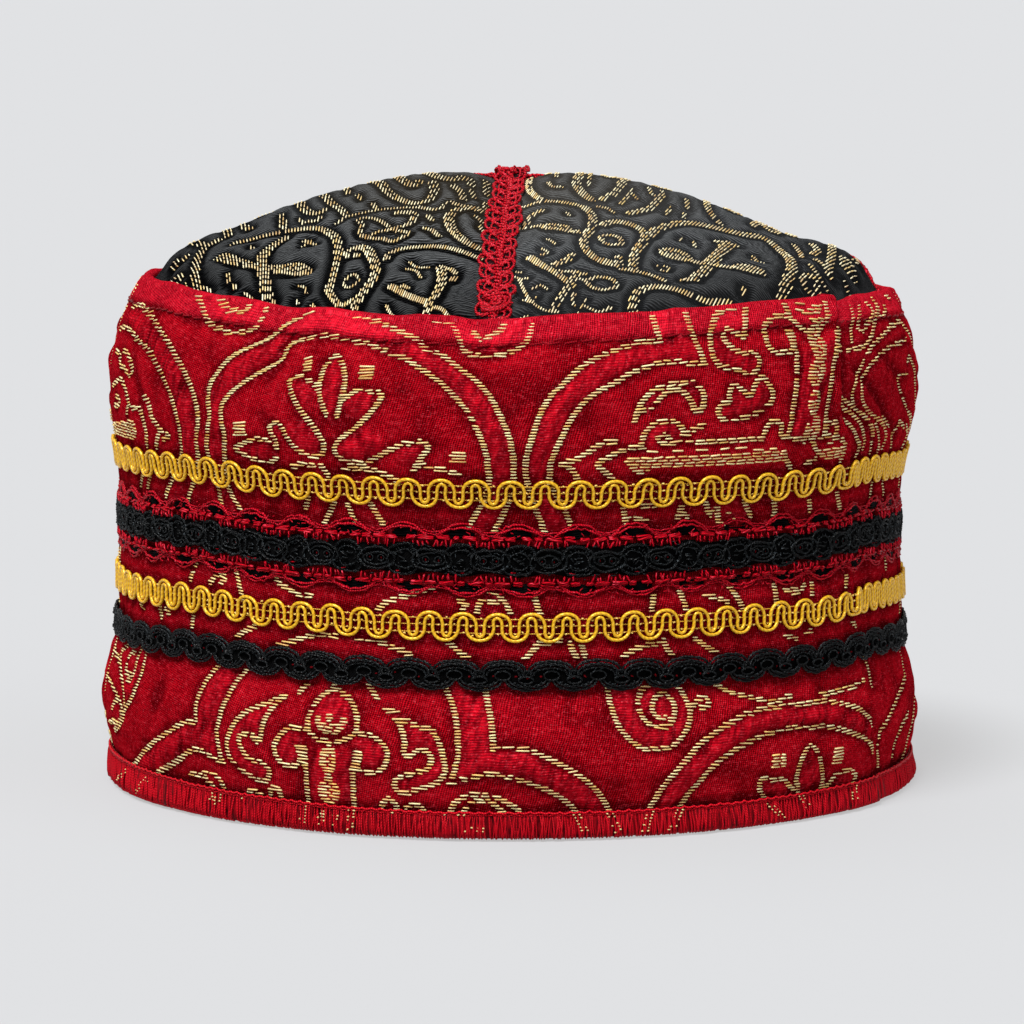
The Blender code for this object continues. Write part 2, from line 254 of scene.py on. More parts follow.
def tubes(paths, ups, wide, high=None, sides=6, closed=False, turn=0.0,
          twist=0.0):
    """Tubes along many paths at once. paths and ups are (T, n, 3); wide and
    high are half-sizes across and along up, numbers or (T, n)."""
    paths, ups = np.asarray(paths, float), np.asarray(ups, float)
    many, n, _ = paths.shape
    high = wide if high is None else high
    if closed:
        ahead = np.roll(paths, -1, 1) - np.roll(paths, 1, 1)
    else:
        ahead = np.gradient(paths, axis=1)
    ahead /= np.linalg.norm(ahead, axis=2, keepdims=True) + 1e-9
    side = np.cross(ahead, ups)
    side /= np.linalg.norm(side, axis=2, keepdims=True) + 1e-9
    up = np.cross(side, ahead)
    if sides == 3:
        turn = turn + math.pi / 2
    a = np.arange(sides) * 2 * math.pi / sides + turn
    wide = np.broadcast_to(np.asarray(wide, float), (many, n))[..., None, None]
    high = np.broadcast_to(np.asarray(high, float), (many, n))[..., None, None]
    run = np.concatenate([np.zeros((many, 1)), np.cumsum(np.linalg.norm(
        np.diff(paths, axis=1), axis=2), 1)], 1)
    phase = a[None, None, :] + twist * run[..., None]
    ring = (paths[:, :, None, :]
            + side[:, :, None, :] * np.cos(phase)[..., None] * wide
            + up[:, :, None, :] * np.sin(phase)[..., None] * high)
    base = grid_faces(n, sides, close_columns=closed, close_rows=True)
    base = base[:, ::-1]
    faces = (base[None] + (np.arange(many) * n * sides)[:, None, None]
             ).reshape(-1, 4)
    uv = np.stack([np.broadcast_to(run[..., None], (many, n, sides)),
                   np.broadcast_to(a / (2 * math.pi), (many, n, sides))], -1)
    verts = ring.reshape(-1, 3)
    if not closed:
        # small pointed ends
        first = paths[:, 0] - ahead[:, 0] * np.asarray(wide[:, 0, 0]) * 0.6
        last = paths[:, -1] + ahead[:, -1] * np.asarray(wide[:, -1, 0]) * 0.6
        at = len(verts)
        verts = np.concatenate([verts, first, last])
        start = np.arange(many)[:, None] * n * sides
        k = np.arange(sides)[None]
        kk = (k + 1) % sides
        f0 = np.stack([start + k, start + kk,
                       np.broadcast_to(at + np.arange(many)[:, None],
                                       (many, sides))], -1)
        end = start + (n - 1) * sides
        f1 = np.stack([end + kk, end + k,
                       np.broadcast_to(at + many + np.arange(many)[:, None],
                                       (many, sides))], -1)
        caps = np.concatenate([f0.reshape(-1, 3), f1.reshape(-1, 3)])
        uv_caps = np.concatenate([uv[:, 0, 0], uv[:, -1, 0]])
    else:
        caps, uv_caps = np.zeros((0, 3), int), np.zeros((0, 2))
    return verts, faces, caps, np.concatenate([uv.reshape(-1, 2), uv_caps])


def quads_to_tris(faces):
    return np.concatenate([faces[:, [0, 1, 2]], faces[:, [0, 2, 3]]])


class Pile:
    """Gathers tubes into one piece."""

    def __init__(self):
        self.v, self.f, self.uv, self.pick, self.n = [], [], [], [], 0

    def add(self, made, pick=0, shift=(0.0, 0.0)):
        verts, faces, caps, uv = made
        tris = np.concatenate([quads_to_tris(faces), caps]) + self.n
        self.v.append(verts)
        self.f.append(tris)
        self.uv.append(uv + np.asarray(shift))
        self.pick.append(np.full(len(tris), pick))
        self.n += len(verts)
        return self

    def make(self, name, mats, take=None, **more):
        return new_mesh(name, np.concatenate(self.v), np.concatenate(self.f),
                        mats, uv=np.concatenate(self.uv) * 0.1,
                        pick=np.concatenate(self.pick), take=take, **more)


def spline(points, step=0.3):
    """A smooth curve through the points."""
    p = np.array(points, float)
    if len(p) < 3:
        n = max(2, int(np.linalg.norm(p[1] - p[0]) / step) + 1)
        t = np.linspace(0, 1, n)[:, None]
        return p[0] + (p[1] - p[0]) * t
    if np.allclose(p[0], p[-1]):
        q = np.vstack([p[-2], p, p[1]])
    else:
        q = np.vstack([2 * p[0] - p[1], p, 2 * p[-1] - p[-2]])
    out = []
    for i in range(1, len(q) - 2):
        a, b, c, d = q[i - 1:i + 3]
        n = max(2, int(np.linalg.norm(c - b) / step) + 1)
        t = np.linspace(0, 1, n, endpoint=False)[:, None]
        out.append(0.5 * (2 * b + (c - a) * t + (2 * a - 5 * b + 4 * c - d)
                          * t * t + (3 * b - a - 3 * c + d) * t ** 3))
    out.append(p[-1][None])
    return np.vstack(out)

# ------------------------------------------------------- the brocade, charted
# Strokes of gold on the band, in mm of cloth: u round the cap from the front
# seam, v up from the foot.
ROUNDEL_FRONT = [
 # outer ring, left then right
 ((-70.5,69.5),(-71.2,74),(-72.4,79),(-72.9,82),(-71.9,86),(-70.7,90),(-71.6,94),(-71.2,97),(-68.5,101.5),(-64.5,105),(-60,107.5),(-55.5,110),(-52.5,112.7),(-48.5,115),(-44,117.2)),
 ((-34,116.8),(-27,115.6),(-21,113.7),(-17,112),(-15.3,110.3),(-11,109),(-7,106.3),(-3,103.2),(0,99.6),(2.5,94.5),(4.5,89),(5.2,84),(5,79),(3.6,74),(2,70.5),(0.3,67.5)),
 # inner ring
 ((-64.3,69.3),(-67.3,73),(-68.4,77),(-67.5,81),(-66.4,86),(-67,90),(-66.8,93),(-63.5,97),(-58,101),(-53,104),(-50.4,106)),
 ((-50.2,106.8),(-49.4,108.7),(-46,110.3),(-41,111.5),(-35,111.3),(-30,111),(-25,109.6),(-20,108),(-16,105.8),(-12,103.2),(-8.5,100),(-5,96),(-2.5,91),(-0.8,86),(-0.2,81),(-0.5,77),(-2.5,73.5),(-5,69.5)),
]
PALMETTE = [
 ((-35,93.5),(-34.2,97),(-33.4,101),(-34,105),(-36,107.4),(-38,106),(-39.3,103),(-39.5,99),(-38.7,96),(-37.7,93.6)),
 ((-39.5,99.4),(-42,101),(-45,101.7),(-47.4,101),(-47,98.5),(-45,95),(-42,91.5),(-39.5,88.6),(-38.4,86.5),(-39,84.3),(-41.5,83.8),(-44.5,84.5),(-47,86.6),(-48.5,89),(-50,90.5),(-52.4,90),(-52,88),(-51,86.5),(-51,84.6)),
 ((-51,85.8),(-54,86.3),(-58,86),(-61,84.6),(-63.5,83.4),(-61,82.3),(-57,81.3),(-53.5,81.3),(-51.5,82.6)),
 ((-34,97.2),(-32,98.6),(-30,100),(-26,99.8),(-24.4,99),(-26,96),(-29,92.5),(-33,89),(-35.4,86.5),(-35.5,84.5),(-33,83.2),(-29,83),(-25.5,84.5),(-22,86.5),(-18,88),(-14.5,88.2),(-13.7,86.8),(-15.5,84.5),(-17.2,82)),
 ((-15.5,82.8),(-11,82.3),(-7,81.2)),
 ((-47,80.8),(-44,81.8),(-41.3,81.5)),((-39.5,81.6),(-38,79.5)),((-34,81.2),(-30,81.5),(-25,81.2),(-21,79.3)),
 ((-43.8,74),(-44.8,71.8)),((-37,73.5),(-39.8,68.5)),((-33.6,73.5),(-31.8,69.5)),((-27.7,74),(-24.8,69.5)),
]
COLUMN_RING = [
 ((12.8,67.5),(11,72),(9.5,75.5),(8.3,80),(8,84),(8.8,88),(10,92),(11.5,96),(13.5,99.5),(16,102),(19,104.8),(22,107),(26,108.8),(30,110),(35,110.9),(39.6,110.9)),
 ((39.6,110.6),(39,114),(38.5,117.4)),
 ((18.3,70),(16.5,74),(14,78),(13.3,82),(14,85.5),(16,90),(18,94),(20.5,97.5),(24,100.3),(28,102.3),(32,104.3),(36,105.5),(41,106.3),(45,105.6),(49.8,105.2)),
 ((49.6,105.4),(48.3,109),(47.4,113),(47.2,117.4)),
]
LEAVES_TOP = [
 ((60.5,116.5),(56,115.8),(53.5,113.5),(52,110.5),(51.8,107.5),(53,105),(55.5,103.8),(58.5,103.3),(60.5,102.2),(62.8,102.6),(64.2,104.3),(63.3,106.3),(60.5,106.7),(57.5,108),(55.8,109.8),(55.8,111)),
 ((57,112.3),(59.5,111),(61,110.4),(62,112.5),(63,115),(64.5,117.3)),
 ((32.3,93.2),(33,95.5),(34.5,98),(37,100),(40,100.8),(44,101.3),(47,100.9),(48.8,99),(49,96.8),(48.3,95),(47,94.8),(45.8,97),(44.3,99),(41.5,99.8),(39,98.8),(37.3,96.8),(35,95.8),(32.8,94.8)),
 ((61,97.3),(59,98.8),(57,100),(55.8,98.8),(55.3,96.3),(53.5,96),(52.5,94.5),(53.8,92.7),(57,92.4),(61,93),(64,94),(66.5,95.5),(67.3,97.3),(66,99.8),(64.5,101.2),(62.5,99.8),(61,97.3)),
 ((33.5,86.8),(34.3,89.5),(36,91.8),(39,92.8),(42,92.5),(43.8,90.5),(43,88.5),(40.5,88),(38.3,88.2),(37.8,89.3),(39.5,89.7),(40.5,88.9)),
 ((44,89.3),(46,90.5),(48.8,91.6)),
 ((28,88.7),(25,88.2),(22,86.5),(19,84.8),(16,83.6),(18,82.8),(19.5,80.6)),
 ((34.5,86.8),(32,87),(29,86.3),(26.5,85),(24,83.7),(25.5,82),(27.5,80.5)),
 ((45,88.2),(50,88),(57,88),(64.4,88)),
 ((64.5,88),(65.5,90),(67,91.2),(69.8,90.8),(70,88.2),(73,87.5),(76,86.9),(78.5,87)),
 ((30.5,73.5),(31,70.5)),((32.5,71.5),(36,70.6)),((35,74),(38,73.6)),
 ((45,73.5),(44,70.8)),((44.5,73),(46.5,71)),((51,74),(52.3,71.3),(54.3,72.5),(54.6,70),(56,68.5)),((57,71),(59,70.5)),((61.5,74),(63.8,70.3)),((70.3,74),(70.8,71),(70,68)),((81.5,72.8),(82.2,70.5)),((91.5,73.5),(93.5,69.5)),
]
COLUMN = [
 ((75.5,117.3),(75.7,114),(75.5,113.3)),
 ((66.9,110),(67.1,107.8),(68.5,106.5),(71,106.1),(74,106.3)),
 ((66.8,109.5),(67.2,111.6),(69,113),(72,113.6),(75.5,113.3),(78,111),(79.8,110)),
 ((75.2,106),(74.8,103),(74.2,99),(73.5,95),(72.8,91),(72,88.6)),
 ((83.5,110.2),(86.5,112),(88.5,113.2),(90.3,116.8)),
 ((90.6,110.3),(88.8,108),(87.5,105.5),(86.3,102),(85.2,98),(84.6,94),(84,90),(83.5,87.3)),
 ((88.3,106.5),(90.5,105.7),(91.7,107),(92.8,110.5)),
 ((82,86.8),(84.5,87),(86.5,86.8),(90,86)),((84,88.2),(85.5,89.8),(88,90),(87.8,87)),
 ((80,87),(81,85),(82,83.8)),((78.8,81.3),(82,82.1)),((72,83),(74,80.8)),((90.5,85.8),(92,84),(91,81)),
]
SOLID_TOP = [
 # crossbar
 (84.9,30.5,72),(84.2,30,72.5),(83.5,30.5,72),(82.8,31,71.5),(82.1,32,36.5),(81.4,33,35.2),
 (86.2,35,38),(86.2,41,44),(86.2,47,50),(86.2,53,55.5),(85.8,57,60),(85.6,62,65),(85.4,66.5,69),
 (84.2,82,91),(83.5,81.5,92),(82.8,83,91.5),(82.1,84.5,90.5),(85.2,85,90),
 # inside of the left volute
 (110.4,73,75.3),(109.7,73,75.5),(109,73.2,75.6),(108.3,73.3,75.6),(107.6,73.5,75.6),(106.9,73.7,75.4),
 (109.7,88.3,90.4),(109,88,90),(108.3,87.7,89.6),(107.6,87.5,89),
]
BEADS_TOP=[(81.6,107.5,2.5,3.9,-0.05),(80.3,101.2,2.8,2.9,0.25),(79.5,94.9,2.5,2.9,0.1),(80.0,89.0,1.7,3.4,0.1),(77.3,88.5,1.1,2.4,0.0)]
CROWN_TOP_ROWS=[(116.8,78,90),(116,79,82),(115.8,84,88.5),(115,78,80.5),(114.5,82,87),(113.8,79.5,86),(113,81,88),(112.3,82,85),(111.6,81,84.5),(110.9,80,84.5)]
LEFT_TOP = [
 ((-123,110.5),(-118,111.3),(-113,111.6),(-110,111.2),(-105,110.2),(-100,108.9),(-95,107.3),(-90,105.6),(-85,102.6),(-80,99),(-77,95),(-75.2,91),(-74.8,88),(-76,85),(-76.6,81),(-77.5,77.5),(-80,74),(-83.5,69.5)),
 ((-130,105.2),(-126,105.8),(-120,106.4),(-115,105.9),(-110,105),(-105,104),(-100,102.8),(-95,100.8),(-90,97.8),(-86,94),(-83.8,90.5),(-82.5,87),(-82.8,83),(-84,79.5),(-88,75.5),(-92.7,69.8)),
 ((-118,101),(-115,101.2),(-112,100.5),(-109,99),(-107.6,97.3),(-108.5,96.5),(-112,97),(-115,97.8),(-118.5,97.8),(-121,99.8),(-126,100.5)),
 ((-127,92.5),(-122,93.8),(-117,94.7),(-113,93.8),(-110,91.8),(-108.3,90.3),(-109.5,87.5)),
 ((-108.5,89.7),(-104,89.4),(-100.3,88.8),(-98.8,86.5),(-98,84),(-99,81)),
 ((-121,90.8),(-118,90.5),(-116,89.8),(-119,88.3),(-122,88.8)),
 ((-99.5,92.4),(-97,92),(-95,90),(-93.5,87.5),(-92.2,86.4),(-91,85.2),(-88.5,84.5),(-87.5,83.8),(-90,83)),((-91,85),(-92.5,83.2),(-94.3,81)),
 ((-86.5,117.3),(-82,115),(-78,112.5),(-74,110.8),(-69,109.8),(-65,110),(-62,110.8),(-60,112),(-59,114.5),(-59.5,117.3)),
 ((-76,117),(-72,115),(-68,114.3),(-65,114.8),(-64.5,116.7)),
 ((-105,74),(-108.5,71)),((-100.5,73.5),(-103,71)),
]
LEFT_BAR=[(86.2,-110,-104),(85.4,-116,-103.3),(84.7,-122,-103),(84,-128,-102.8),(83.3,-130,-103.2),(82.6,-130,-104),(81.9,-130,-106)]
TOP_SCROLL = [ # scroll over the front seam, under the rim
 ((-9.6,116.5),(-7.8,114),(-6.8,111.5),(-5.5,110),(-3,109.4),(0,109.2),(3.5,109.8),(6.5,111),(8.8,113.3),(9.8,117.2)),
 ((-4,114.5),(-2.5,113.3),(0.3,114),(2.5,115.3),(3.5,117.2)),
 ((-13.5,116.4),(-10.5,116.1)),
]
WAIST = [ # seen between the trims
 ((-65.6,55.7),(-64.3,53.5),(-63.3,51),(-62.6,49)),((-71.5,53.6),(-68.6,53.2),(-70,51.8)),((-74,51.5),(-72,53.5),(-69,54)),
 ((-81.8,51.5),(-80.9,53.5),(-79.8,56)),
 ((-53,55),(-51,53.8),(-48,52.8),(-45.5,51.8),(-42.8,52.3)),
 ((-26,50.3),(-24.5,51.8),(-22,53),(-19,53.8),(-13.5,55.7)),((-7,53),(-5.5,52.3),(-6.3,51.3)),
 ((-3,50.3),(-2.3,52.8),(0.5,54.3),(3,53.3),(4.6,50.6)),((-1.5,53.2),(2.5,52.8)),
 ((10,54.5),(10.5,52.5),(11.3,50.3)),((38,54),(37.6,52),(37.5,50.3)),((44.3,54.7),(45.2,52.5),(46,50.3)),
 ((51,53.3),(54,52.5),(57,51.5)),((57.8,54.7),(59.6,52.5),(61.5,49.6)),((70.5,54.3),(70.8,52),(71.3,49.8)),
 ((73.5,53),(76,53),(79,52.5),(80.3,53.5)),((76,51.3),(78,51.5)),((83,53.7),(82.8,51.3)),((85.5,54.5),(88.5,54.8)),((96.3,53.7),(96,51.5)),
 ((-65,40),(-62,42),(-58.5,43.8)),((-53.5,39.6),(-49,41.2),(-45,42.6),(-40,43.6),(-36,43.8)),((-31,43.4),(-26,43.3),(-22,42.2),(-18.3,40.8)),
 ((-9.5,43.7),(-6.5,41.3),(-3,39)),((7,39.6),(9,41.5),(11.2,43.8)),((12,43.7),(16,44.5)),((18.2,43.7),(19,41.5),(20,40)),((20.8,43.7),(21.5,41)),
 ((29.3,39.2),(31.5,41.2),(35,42.6),(39.5,43.4)),((40.1,43.7),(41.3,41.5),(42.9,39.8)),((48,43.8),(51,41.8),(54.2,39.8)),
 ((73.5,42.7),(76,42),(77,41.8)),((79.5,42),(82,43)),((98.8,42.7),(100.5,41.5),(102.2,40.3)),
 ((-106.5,43.5),(-105,42.7),(-103.5,42.8)),((-95,43.8),(-94,41.8)),((-92.8,43.6),(-90,43)),((-80,43.5),(-80.3,41)),
]
COLUMN_FOOT = [
 ((-69.2,34.3),(-71.5,31.5),(-73.5,29),(-75,26),(-75.5,23),(-75.3,20.5)),
 ((-75.3,20.2),(-78,20),(-82,18.8),(-86,17),(-91,14.8),(-96,12.5),(-100,10.8),(-104,8.5),(-108,6.5),(-112,4.2),(-116,2)),
 ((-60.8,33.9),(-63.5,30.5),(-65.5,26),(-67,22),(-67.8,19),(-67.2,15.5),(-66.4,13.2)),
 ((-66.2,12.9),(-69,13.3),(-73,14.2),(-77,14),(-81,12.2),(-86,10),(-91,8),(-95,6),(-99,3.5),(-102,1.2)),
 ((-1.2,33.6),(-0.3,30),(0.5,26),(0.8,22),(0.8,20.6)),
 ((0.8,20.9),(5,21),(9,20.3),(13,18.5),(17,16.3),(21,13.5),(24,10.5),(26,7.5),(27.5,4.5),(28.8,1.2)),
 ((-10.2,34),(-8.5,30.5),(-7.2,26),(-6.8,22),(-7,18.5),(-7.8,15),(-8.6,13)),
 ((-8.8,12.8),(-5,13.8),(0,14.9),(5,14.2),(10,12.5),(15,10),(18.5,7),(20.3,4),(21.5,1.3)),
 ((-49,29.3),(-53,27.5),(-58,25.3),(-61.5,22.5),(-63.7,19.5),(-64.5,16.5),(-63.3,13.8),(-60.5,11.8),(-57,10.5),(-54.5,9.9),(-52.7,11.3),(-52.6,13),(-54.5,14.2),(-58,14.8),(-60,16.5),(-60.8,18.8),(-59.3,20),(-57,20.2),(-55.8,18.8),(-54.7,19.3),(-54.3,21.5),(-52.8,25),(-51,27.5),(-49,29.3)),
 ((-23.5,28.8),(-21,27.8),(-18,26),(-15,25),(-13,24.6),(-11.3,22.3),(-10.2,19),(-9.8,15.5),(-11,13.3),(-14,11.8),(-17,10.6),(-19.5,10.1),(-21,11.3),(-20.8,13),(-18.5,14.2),(-16,14.8),(-13.5,16),(-12.8,18.3),(-14,20),(-16,19.7),(-17.8,18.5),(-19,19.5),(-18.8,22),(-19.8,25),(-21.5,27.5),(-23.5,28.8)),
 ((-45.3,30.5),(-43.5,32.3)),((-28.3,34),(-27,32.3),(-25.5,30.7)),
 ((-36.8,31.8),(-39.5,30),(-41.2,27.5),(-42,24.8),(-41.8,22.8)),((-35,31.7),(-32.5,30.3),(-30.8,28),(-30,25.5),(-30.2,23.2)),((-36.6,33.6),(-36.3,32)),
 ((-41.5,22.5),(-45,22.8),(-48,22),(-49.8,20),(-50.8,18),(-50,15.8),(-48,14.5),(-45,14.6),(-43.2,15.5)),
 ((-30.5,22.6),(-27,22.8),(-24.5,21.5),(-23,19.8),(-22.8,17.8),(-23.8,15.5),(-26,14.5),(-29,14.8)),
 ((-41.8,22.3),(-40,21),(-38,20.5),(-35,20.4),(-33,21.2),(-31,22.3)),
 ((-42.8,19),(-42.5,15),(-42.8,10),(-43,5),(-43,1.5)),((-30.5,19),(-30.8,15),(-31,10),(-31,5),(-31,1.5)),
 ((-59.8,6),(-58.5,7.5),(-55.8,6.8)),((-53.3,6.6),(-52.3,8.5),(-50.5,8.8),(-49.8,6.5)),((-24.5,6.8),(-22.8,8.6),(-21.2,7.5),(-21,6)),((-18.8,6.8),(-16.5,7.5),(-15,6.5)),
 ((-9,5.5),(-7.5,8.3),(-5,9.8),(-2,10),(1.5,9.6),(4,8.3),(6.5,6.5)),((-6,5.5),(-4.5,8),(-1.5,9),(1,8),(3,6)),((-4.5,2.4),(-1.5,2.3)),
 ((-79.3,8.4),(-77,9),(-74,8.5),(-71,7),(-70.2,4.5)),((-75,9),(-72,9.8),(-69.5,9.6),(-67.5,7.5),(-68,4)),
]
SOLID_FOOT=[ # volute infill, crown in the orb
 (18.8,-45.4,-43.6),(18.1,-44.9,-43.2),(17.4,-44.7,-42.8),(16.7,-44.6,-42.5),(16,-44.5,-42.4),(15.3,-44,-42.3),
 (18.9,-30.4,-28.2),(18.2,-30.6,-28),(17.5,-30.8,-28.2),(16.8,-31,-28.5),(16.1,-31,-28.8),(15.4,-31,-29.2),
 (26.9,-37.2,-35.4),(26.1,-40,-38.3),(26.1,-37.3,-35.2),(26.1,-34,-32.2),(25.4,-40,-38.2),(25.4,-37,-35.6),(25.4,-34,-32),
 (24.6,-39.6,-36.8),(24.6,-36,-32.3),(23.9,-39.4,-32.6),(23.2,-39,-33.2),(22.5,-38.2,-34),
]
BEADS_FOOT=[(-36.6,16.6,2.3,3.4,0),(-36.7,9.6,3.0,2.7,0),(-36.7,12.9,1.2,1.0,0),(-38.4,3.6,0.8,1.8,0),(-34.9,3.6,0.8,1.8,0)]
DROP = [
 ((26.7,34.4),(27,31),(27.8,28),(29,25),(31.5,22),(34,20.2),(37,19.7),(40.5,20),(43,21.7),(45,24.5),(46,27.5),(45.2,30.5),(43.8,33),(42.8,33.8)),
 ((36.6,34.3),(34.3,32.5),(33.6,30),(34.2,27.5),(35.5,25.7),(37.5,25),(40,25),(41.8,26.5),(42.2,29),(41.3,31),(39.5,31.8),(37.5,31),(36.8,29.3),(37.3,27.3)),
 ((46.3,28.4),(48,30),(50,30.6),(50.8,29),(48.9,28.4)),
]
DROP_ROWS=[(27,37.6,40.5),(26.3,37.2,41)]
RING_FOOT = [
 ((34.8,1.2),(35.8,4.5),(37.3,8),(39.5,11.5),(42,14.5),(45,17.3),(48.5,20.5),(52,22.7),(56,24.7),(60,26),(65,26.9),(70,27.2),(75,27.2),(80,26.8),(85,26.8),(90,25.6),(95,24),(99,22),(102,20),(103.2,18.3)),
 ((41,1.2),(43,5),(45,8.5),(48,12),(51,15),(55,17.5),(59,19.3),(63,20.6),(68,21.6),(74,21.8),(80,21.5),(85,20.9),(90,19.5),(95,17.7),(100,15.6),(103,13),(105.5,9.5),(107,7),(108.5,4),(110,1.2)),
 ((53.2,33.2),(57,31.3),(61,30.2),(65,29),(69,28.4),(74,29)),((84,28.8),(87,28.1),(92,28.6),(97,28.6),(101,28.9),(104,30.3),(106,33)),
 ((76.7,6.6),(75.5,9.5),(75.7,12.5),(76.8,15.5),(78.5,16.9),(80.3,16.5),(81.8,14.5),(83.3,11.5),(84.5,8.5),(84.3,6.5)),
 ((84.4,6.5),(87,6.8),(88.5,8.8),(91,9.2),(94,9.2),(96.3,7.5),(95,5.5),(94.5,3)),
 ((76.5,7),(74,7.8),(71.5,9.8),(68,10.3),(65,10.8),(64.5,9),(65.5,7),(67.5,4.5),(69.5,2.5),(71.3,0.8)),
 ((76.5,5.6),(78.7,2.8)),
]
LEFT_FOOT = [
 ((-101.1,34.2),(-101.5,31),(-102,28),(-103.5,25),(-106,22),(-109,20),(-110.5,18.8),(-112,16.5),(-115,14.5),(-120,13)),
 ((-105.3,34),(-106.3,31),(-106.5,28),(-108,25.6),(-110,25.6)),((-108.8,31.9),(-111.8,31.2),(-113.3,29),(-112.5,27.2),(-110,26.8),(-107.5,26.8)),
 ((-111,34.6),(-115,33.2),(-118,32),(-121,30.3),(-119,28),(-116,26),(-113,24.5),(-111.5,22.5),(-111,19.5)),
 ((-134,29.7),(-125,29),(-120,28.2)),((-134,24.2),(-125,23.5),(-120,22),(-115,20.5),(-113,19),(-112.8,17),(-115,15.5),(-120,15),(-125,14)),
 ((-121,17.5),(-119,19.5),(-116,20.3)),
]
UNDER_LAP = [ # right-hand end of the strip, crumpled where it goes under the lap
 ((102,115.7),(101.1,114.1),(99.3,112.4),(97.5,110.4),(96.5,108)),((106.1,115.6),(104.6,113.9),(102.6,112.2),(100.8,110.7)),
 ((100.6,110.6),(101.8,109.8),(104.3,109.9),(106.3,110.7)),((109.8,115.3),(111.4,114.6),(111.3,113.2),(109.1,111.8),(106.3,110.7)),
 ((115.4,115.8),(116.1,114.3),(113.2,112.4),(108.9,109.9),(106.4,108),(103.6,106.7),(100.8,106),(98.2,105.9),(96,106.3),(93.8,106.1)),
 ((128.3,116.2),(131.2,115.5)),((122.4,114.1),(121.5,113.1),(117.4,112.1),(113.9,112)),
 ((132,110.5),(125.8,109.9),(119,109.1),(112.9,107.6),(107.3,106.2),(103.6,104.7),(102,104.2)),
 ((100.5,102.7),(98.7,100.7),(96.8,98.6),(95.7,97),(95.3,95.3),(95.8,93.5),(97.3,91.9),(100,90.5),(102.5,88.9),(104.8,87),(106.3,85.1),(106.8,83),(106.9,80.8)),
 ((132,105.9),(124.5,105.4),(116.4,104.8),(111.3,103.7),(106.3,102.4),(103,101),(100.5,99.3),(99.3,97.8),(99,96.1),(99.3,94.3),(100.5,92.4),(103.1,90.6),(106.9,88.9),(109.4,87.9),(112.4,86.2),(114.1,84),(113.6,82),(113.2,81.1)),
 ((132.8,101.9),(130.5,100.7)),((122.7,97.3),(125.3,98.1),(130,98)),((122.7,97.3),(123.5,95.8),(126,93.6),(129,92),(132,89.8)),
 ((89.5,95.4),(91.4,94.5),(95,92.9),(97.3,91.8),(100,90.5)),((89.7,94.8),(91.7,92.5),(94.3,91.4),(97,89.9),(99.3,88.2),(101.1,86.2),(102.5,84),(102.3,82.3)),
 ((91.7,90),(93.7,88.9),(96.2,87.1),(99,84.7),(100.5,83.1),(100.5,81.9),(99.8,80.5)),((106.6,87.5),(108.9,85.8),(110.4,83.4),(110.8,81)),((111.6,88.9),(114.1,87.6),(116.6,86.6)),
 ((124,86.4),(122.4,85),(119.7,83.8),(120.4,82.6),(120.7,81.1)),((123.5,87.2),(129.7,85.7)),
 ((106,33.6),(107,31),(106.8,27)),
 ((109.6,7.6),(108.3,10.5),(107.5,13.5),(109,16.3),(111.5,17.3),(115,19),(120,21.3),(125,23.8),(132,26.5)),((120.6,8.6),(120,11.5),(121.5,14),(125,16),(132,17.8)),
 ((112,73.5),(111.5,70)),((119,73),(121,70.5)),((122,53),(123.5,55.5)),
]
UNDER_ROWS=[(84.1,99.4,100.9),(83.4,99.6,101.3),(82.7,99.8,101.4)]
SQUARES=[(-43.2,105.4,2.6,3.2),(-28.3,104.6,3.6,3.4),(-61.1,88.7,4.0,3.4),(-7,85.3,3.6,3.3),(69,14.9,4.4,3.5),(88.3,14,3.6,3.8)]

# ---------------------------------------------- the brocade as fields of cloth
FRONT_STROKES = (ROUNDEL_FRONT + PALMETTE + COLUMN_RING + LEAVES_TOP + COLUMN
                 + LEFT_TOP + TOP_SCROLL + WAIST + COLUMN_FOOT + DROP
                 + RING_FOOT + LEFT_FOOT)
ROWS_FILLED = (SOLID_TOP + CROWN_TOP_ROWS + LEFT_BAR + SOLID_FOOT + DROP_ROWS)
# closed figures: runs of strokes joined end to end, (strokes, backwards)
FIGURES = (
    [[(ROUNDEL_FRONT[0], 0), (ROUNDEL_FRONT[1], 0), (ROUNDEL_FRONT[3], 1),
      (ROUNDEL_FRONT[2], 1)]]
    + [[(COLUMN_RING[0], 0), (COLUMN_RING[1], 0), (COLUMN_RING[3], 1),
        (COLUMN_RING[2], 1)]]
    + [[(LEFT_TOP[0], 0), (LEFT_TOP[1], 1)]]
    + [[(LEFT_TOP[8], 0), (LEFT_TOP[9], 1)]]
    + [[(TOP_SCROLL[0], 0), (TOP_SCROLL[1], 1)]]
    + [[(s, 0)] for s in PALMETTE[:4]] + [[(s, 0)] for s in LEAVES_TOP[:5]]
    + [[(COLUMN[3], 0), (COLUMN[5], 1)]]
    + [[(COLUMN_FOOT[0], 0), (COLUMN_FOOT[1], 0), (COLUMN_FOOT[3], 1),
        (COLUMN_FOOT[2], 1)],
       [(COLUMN_FOOT[4], 0), (COLUMN_FOOT[5], 0), (COLUMN_FOOT[7], 1),
        (COLUMN_FOOT[6], 1)],
       [(COLUMN_FOOT[8], 0)], [(COLUMN_FOOT[9], 0)],
       [(COLUMN_FOOT[12], 0), (COLUMN_FOOT[13], 1)],
       [(COLUMN_FOOT[15], 0)], [(COLUMN_FOOT[16], 0)],
       [(COLUMN_FOOT[18], 0), (COLUMN_FOOT[19], 1)]]
    + [[(RING_FOOT[0], 0), (RING_FOOT[1], 1)]]
    + [[(RING_FOOT[4], 0)], [(RING_FOOT[5], 0)], [(RING_FOOT[6], 0)]]
    + [[(DROP[0], 0)], [(LEFT_FOOT[0], 0), (LEFT_FOOT[1], 1)]]
)
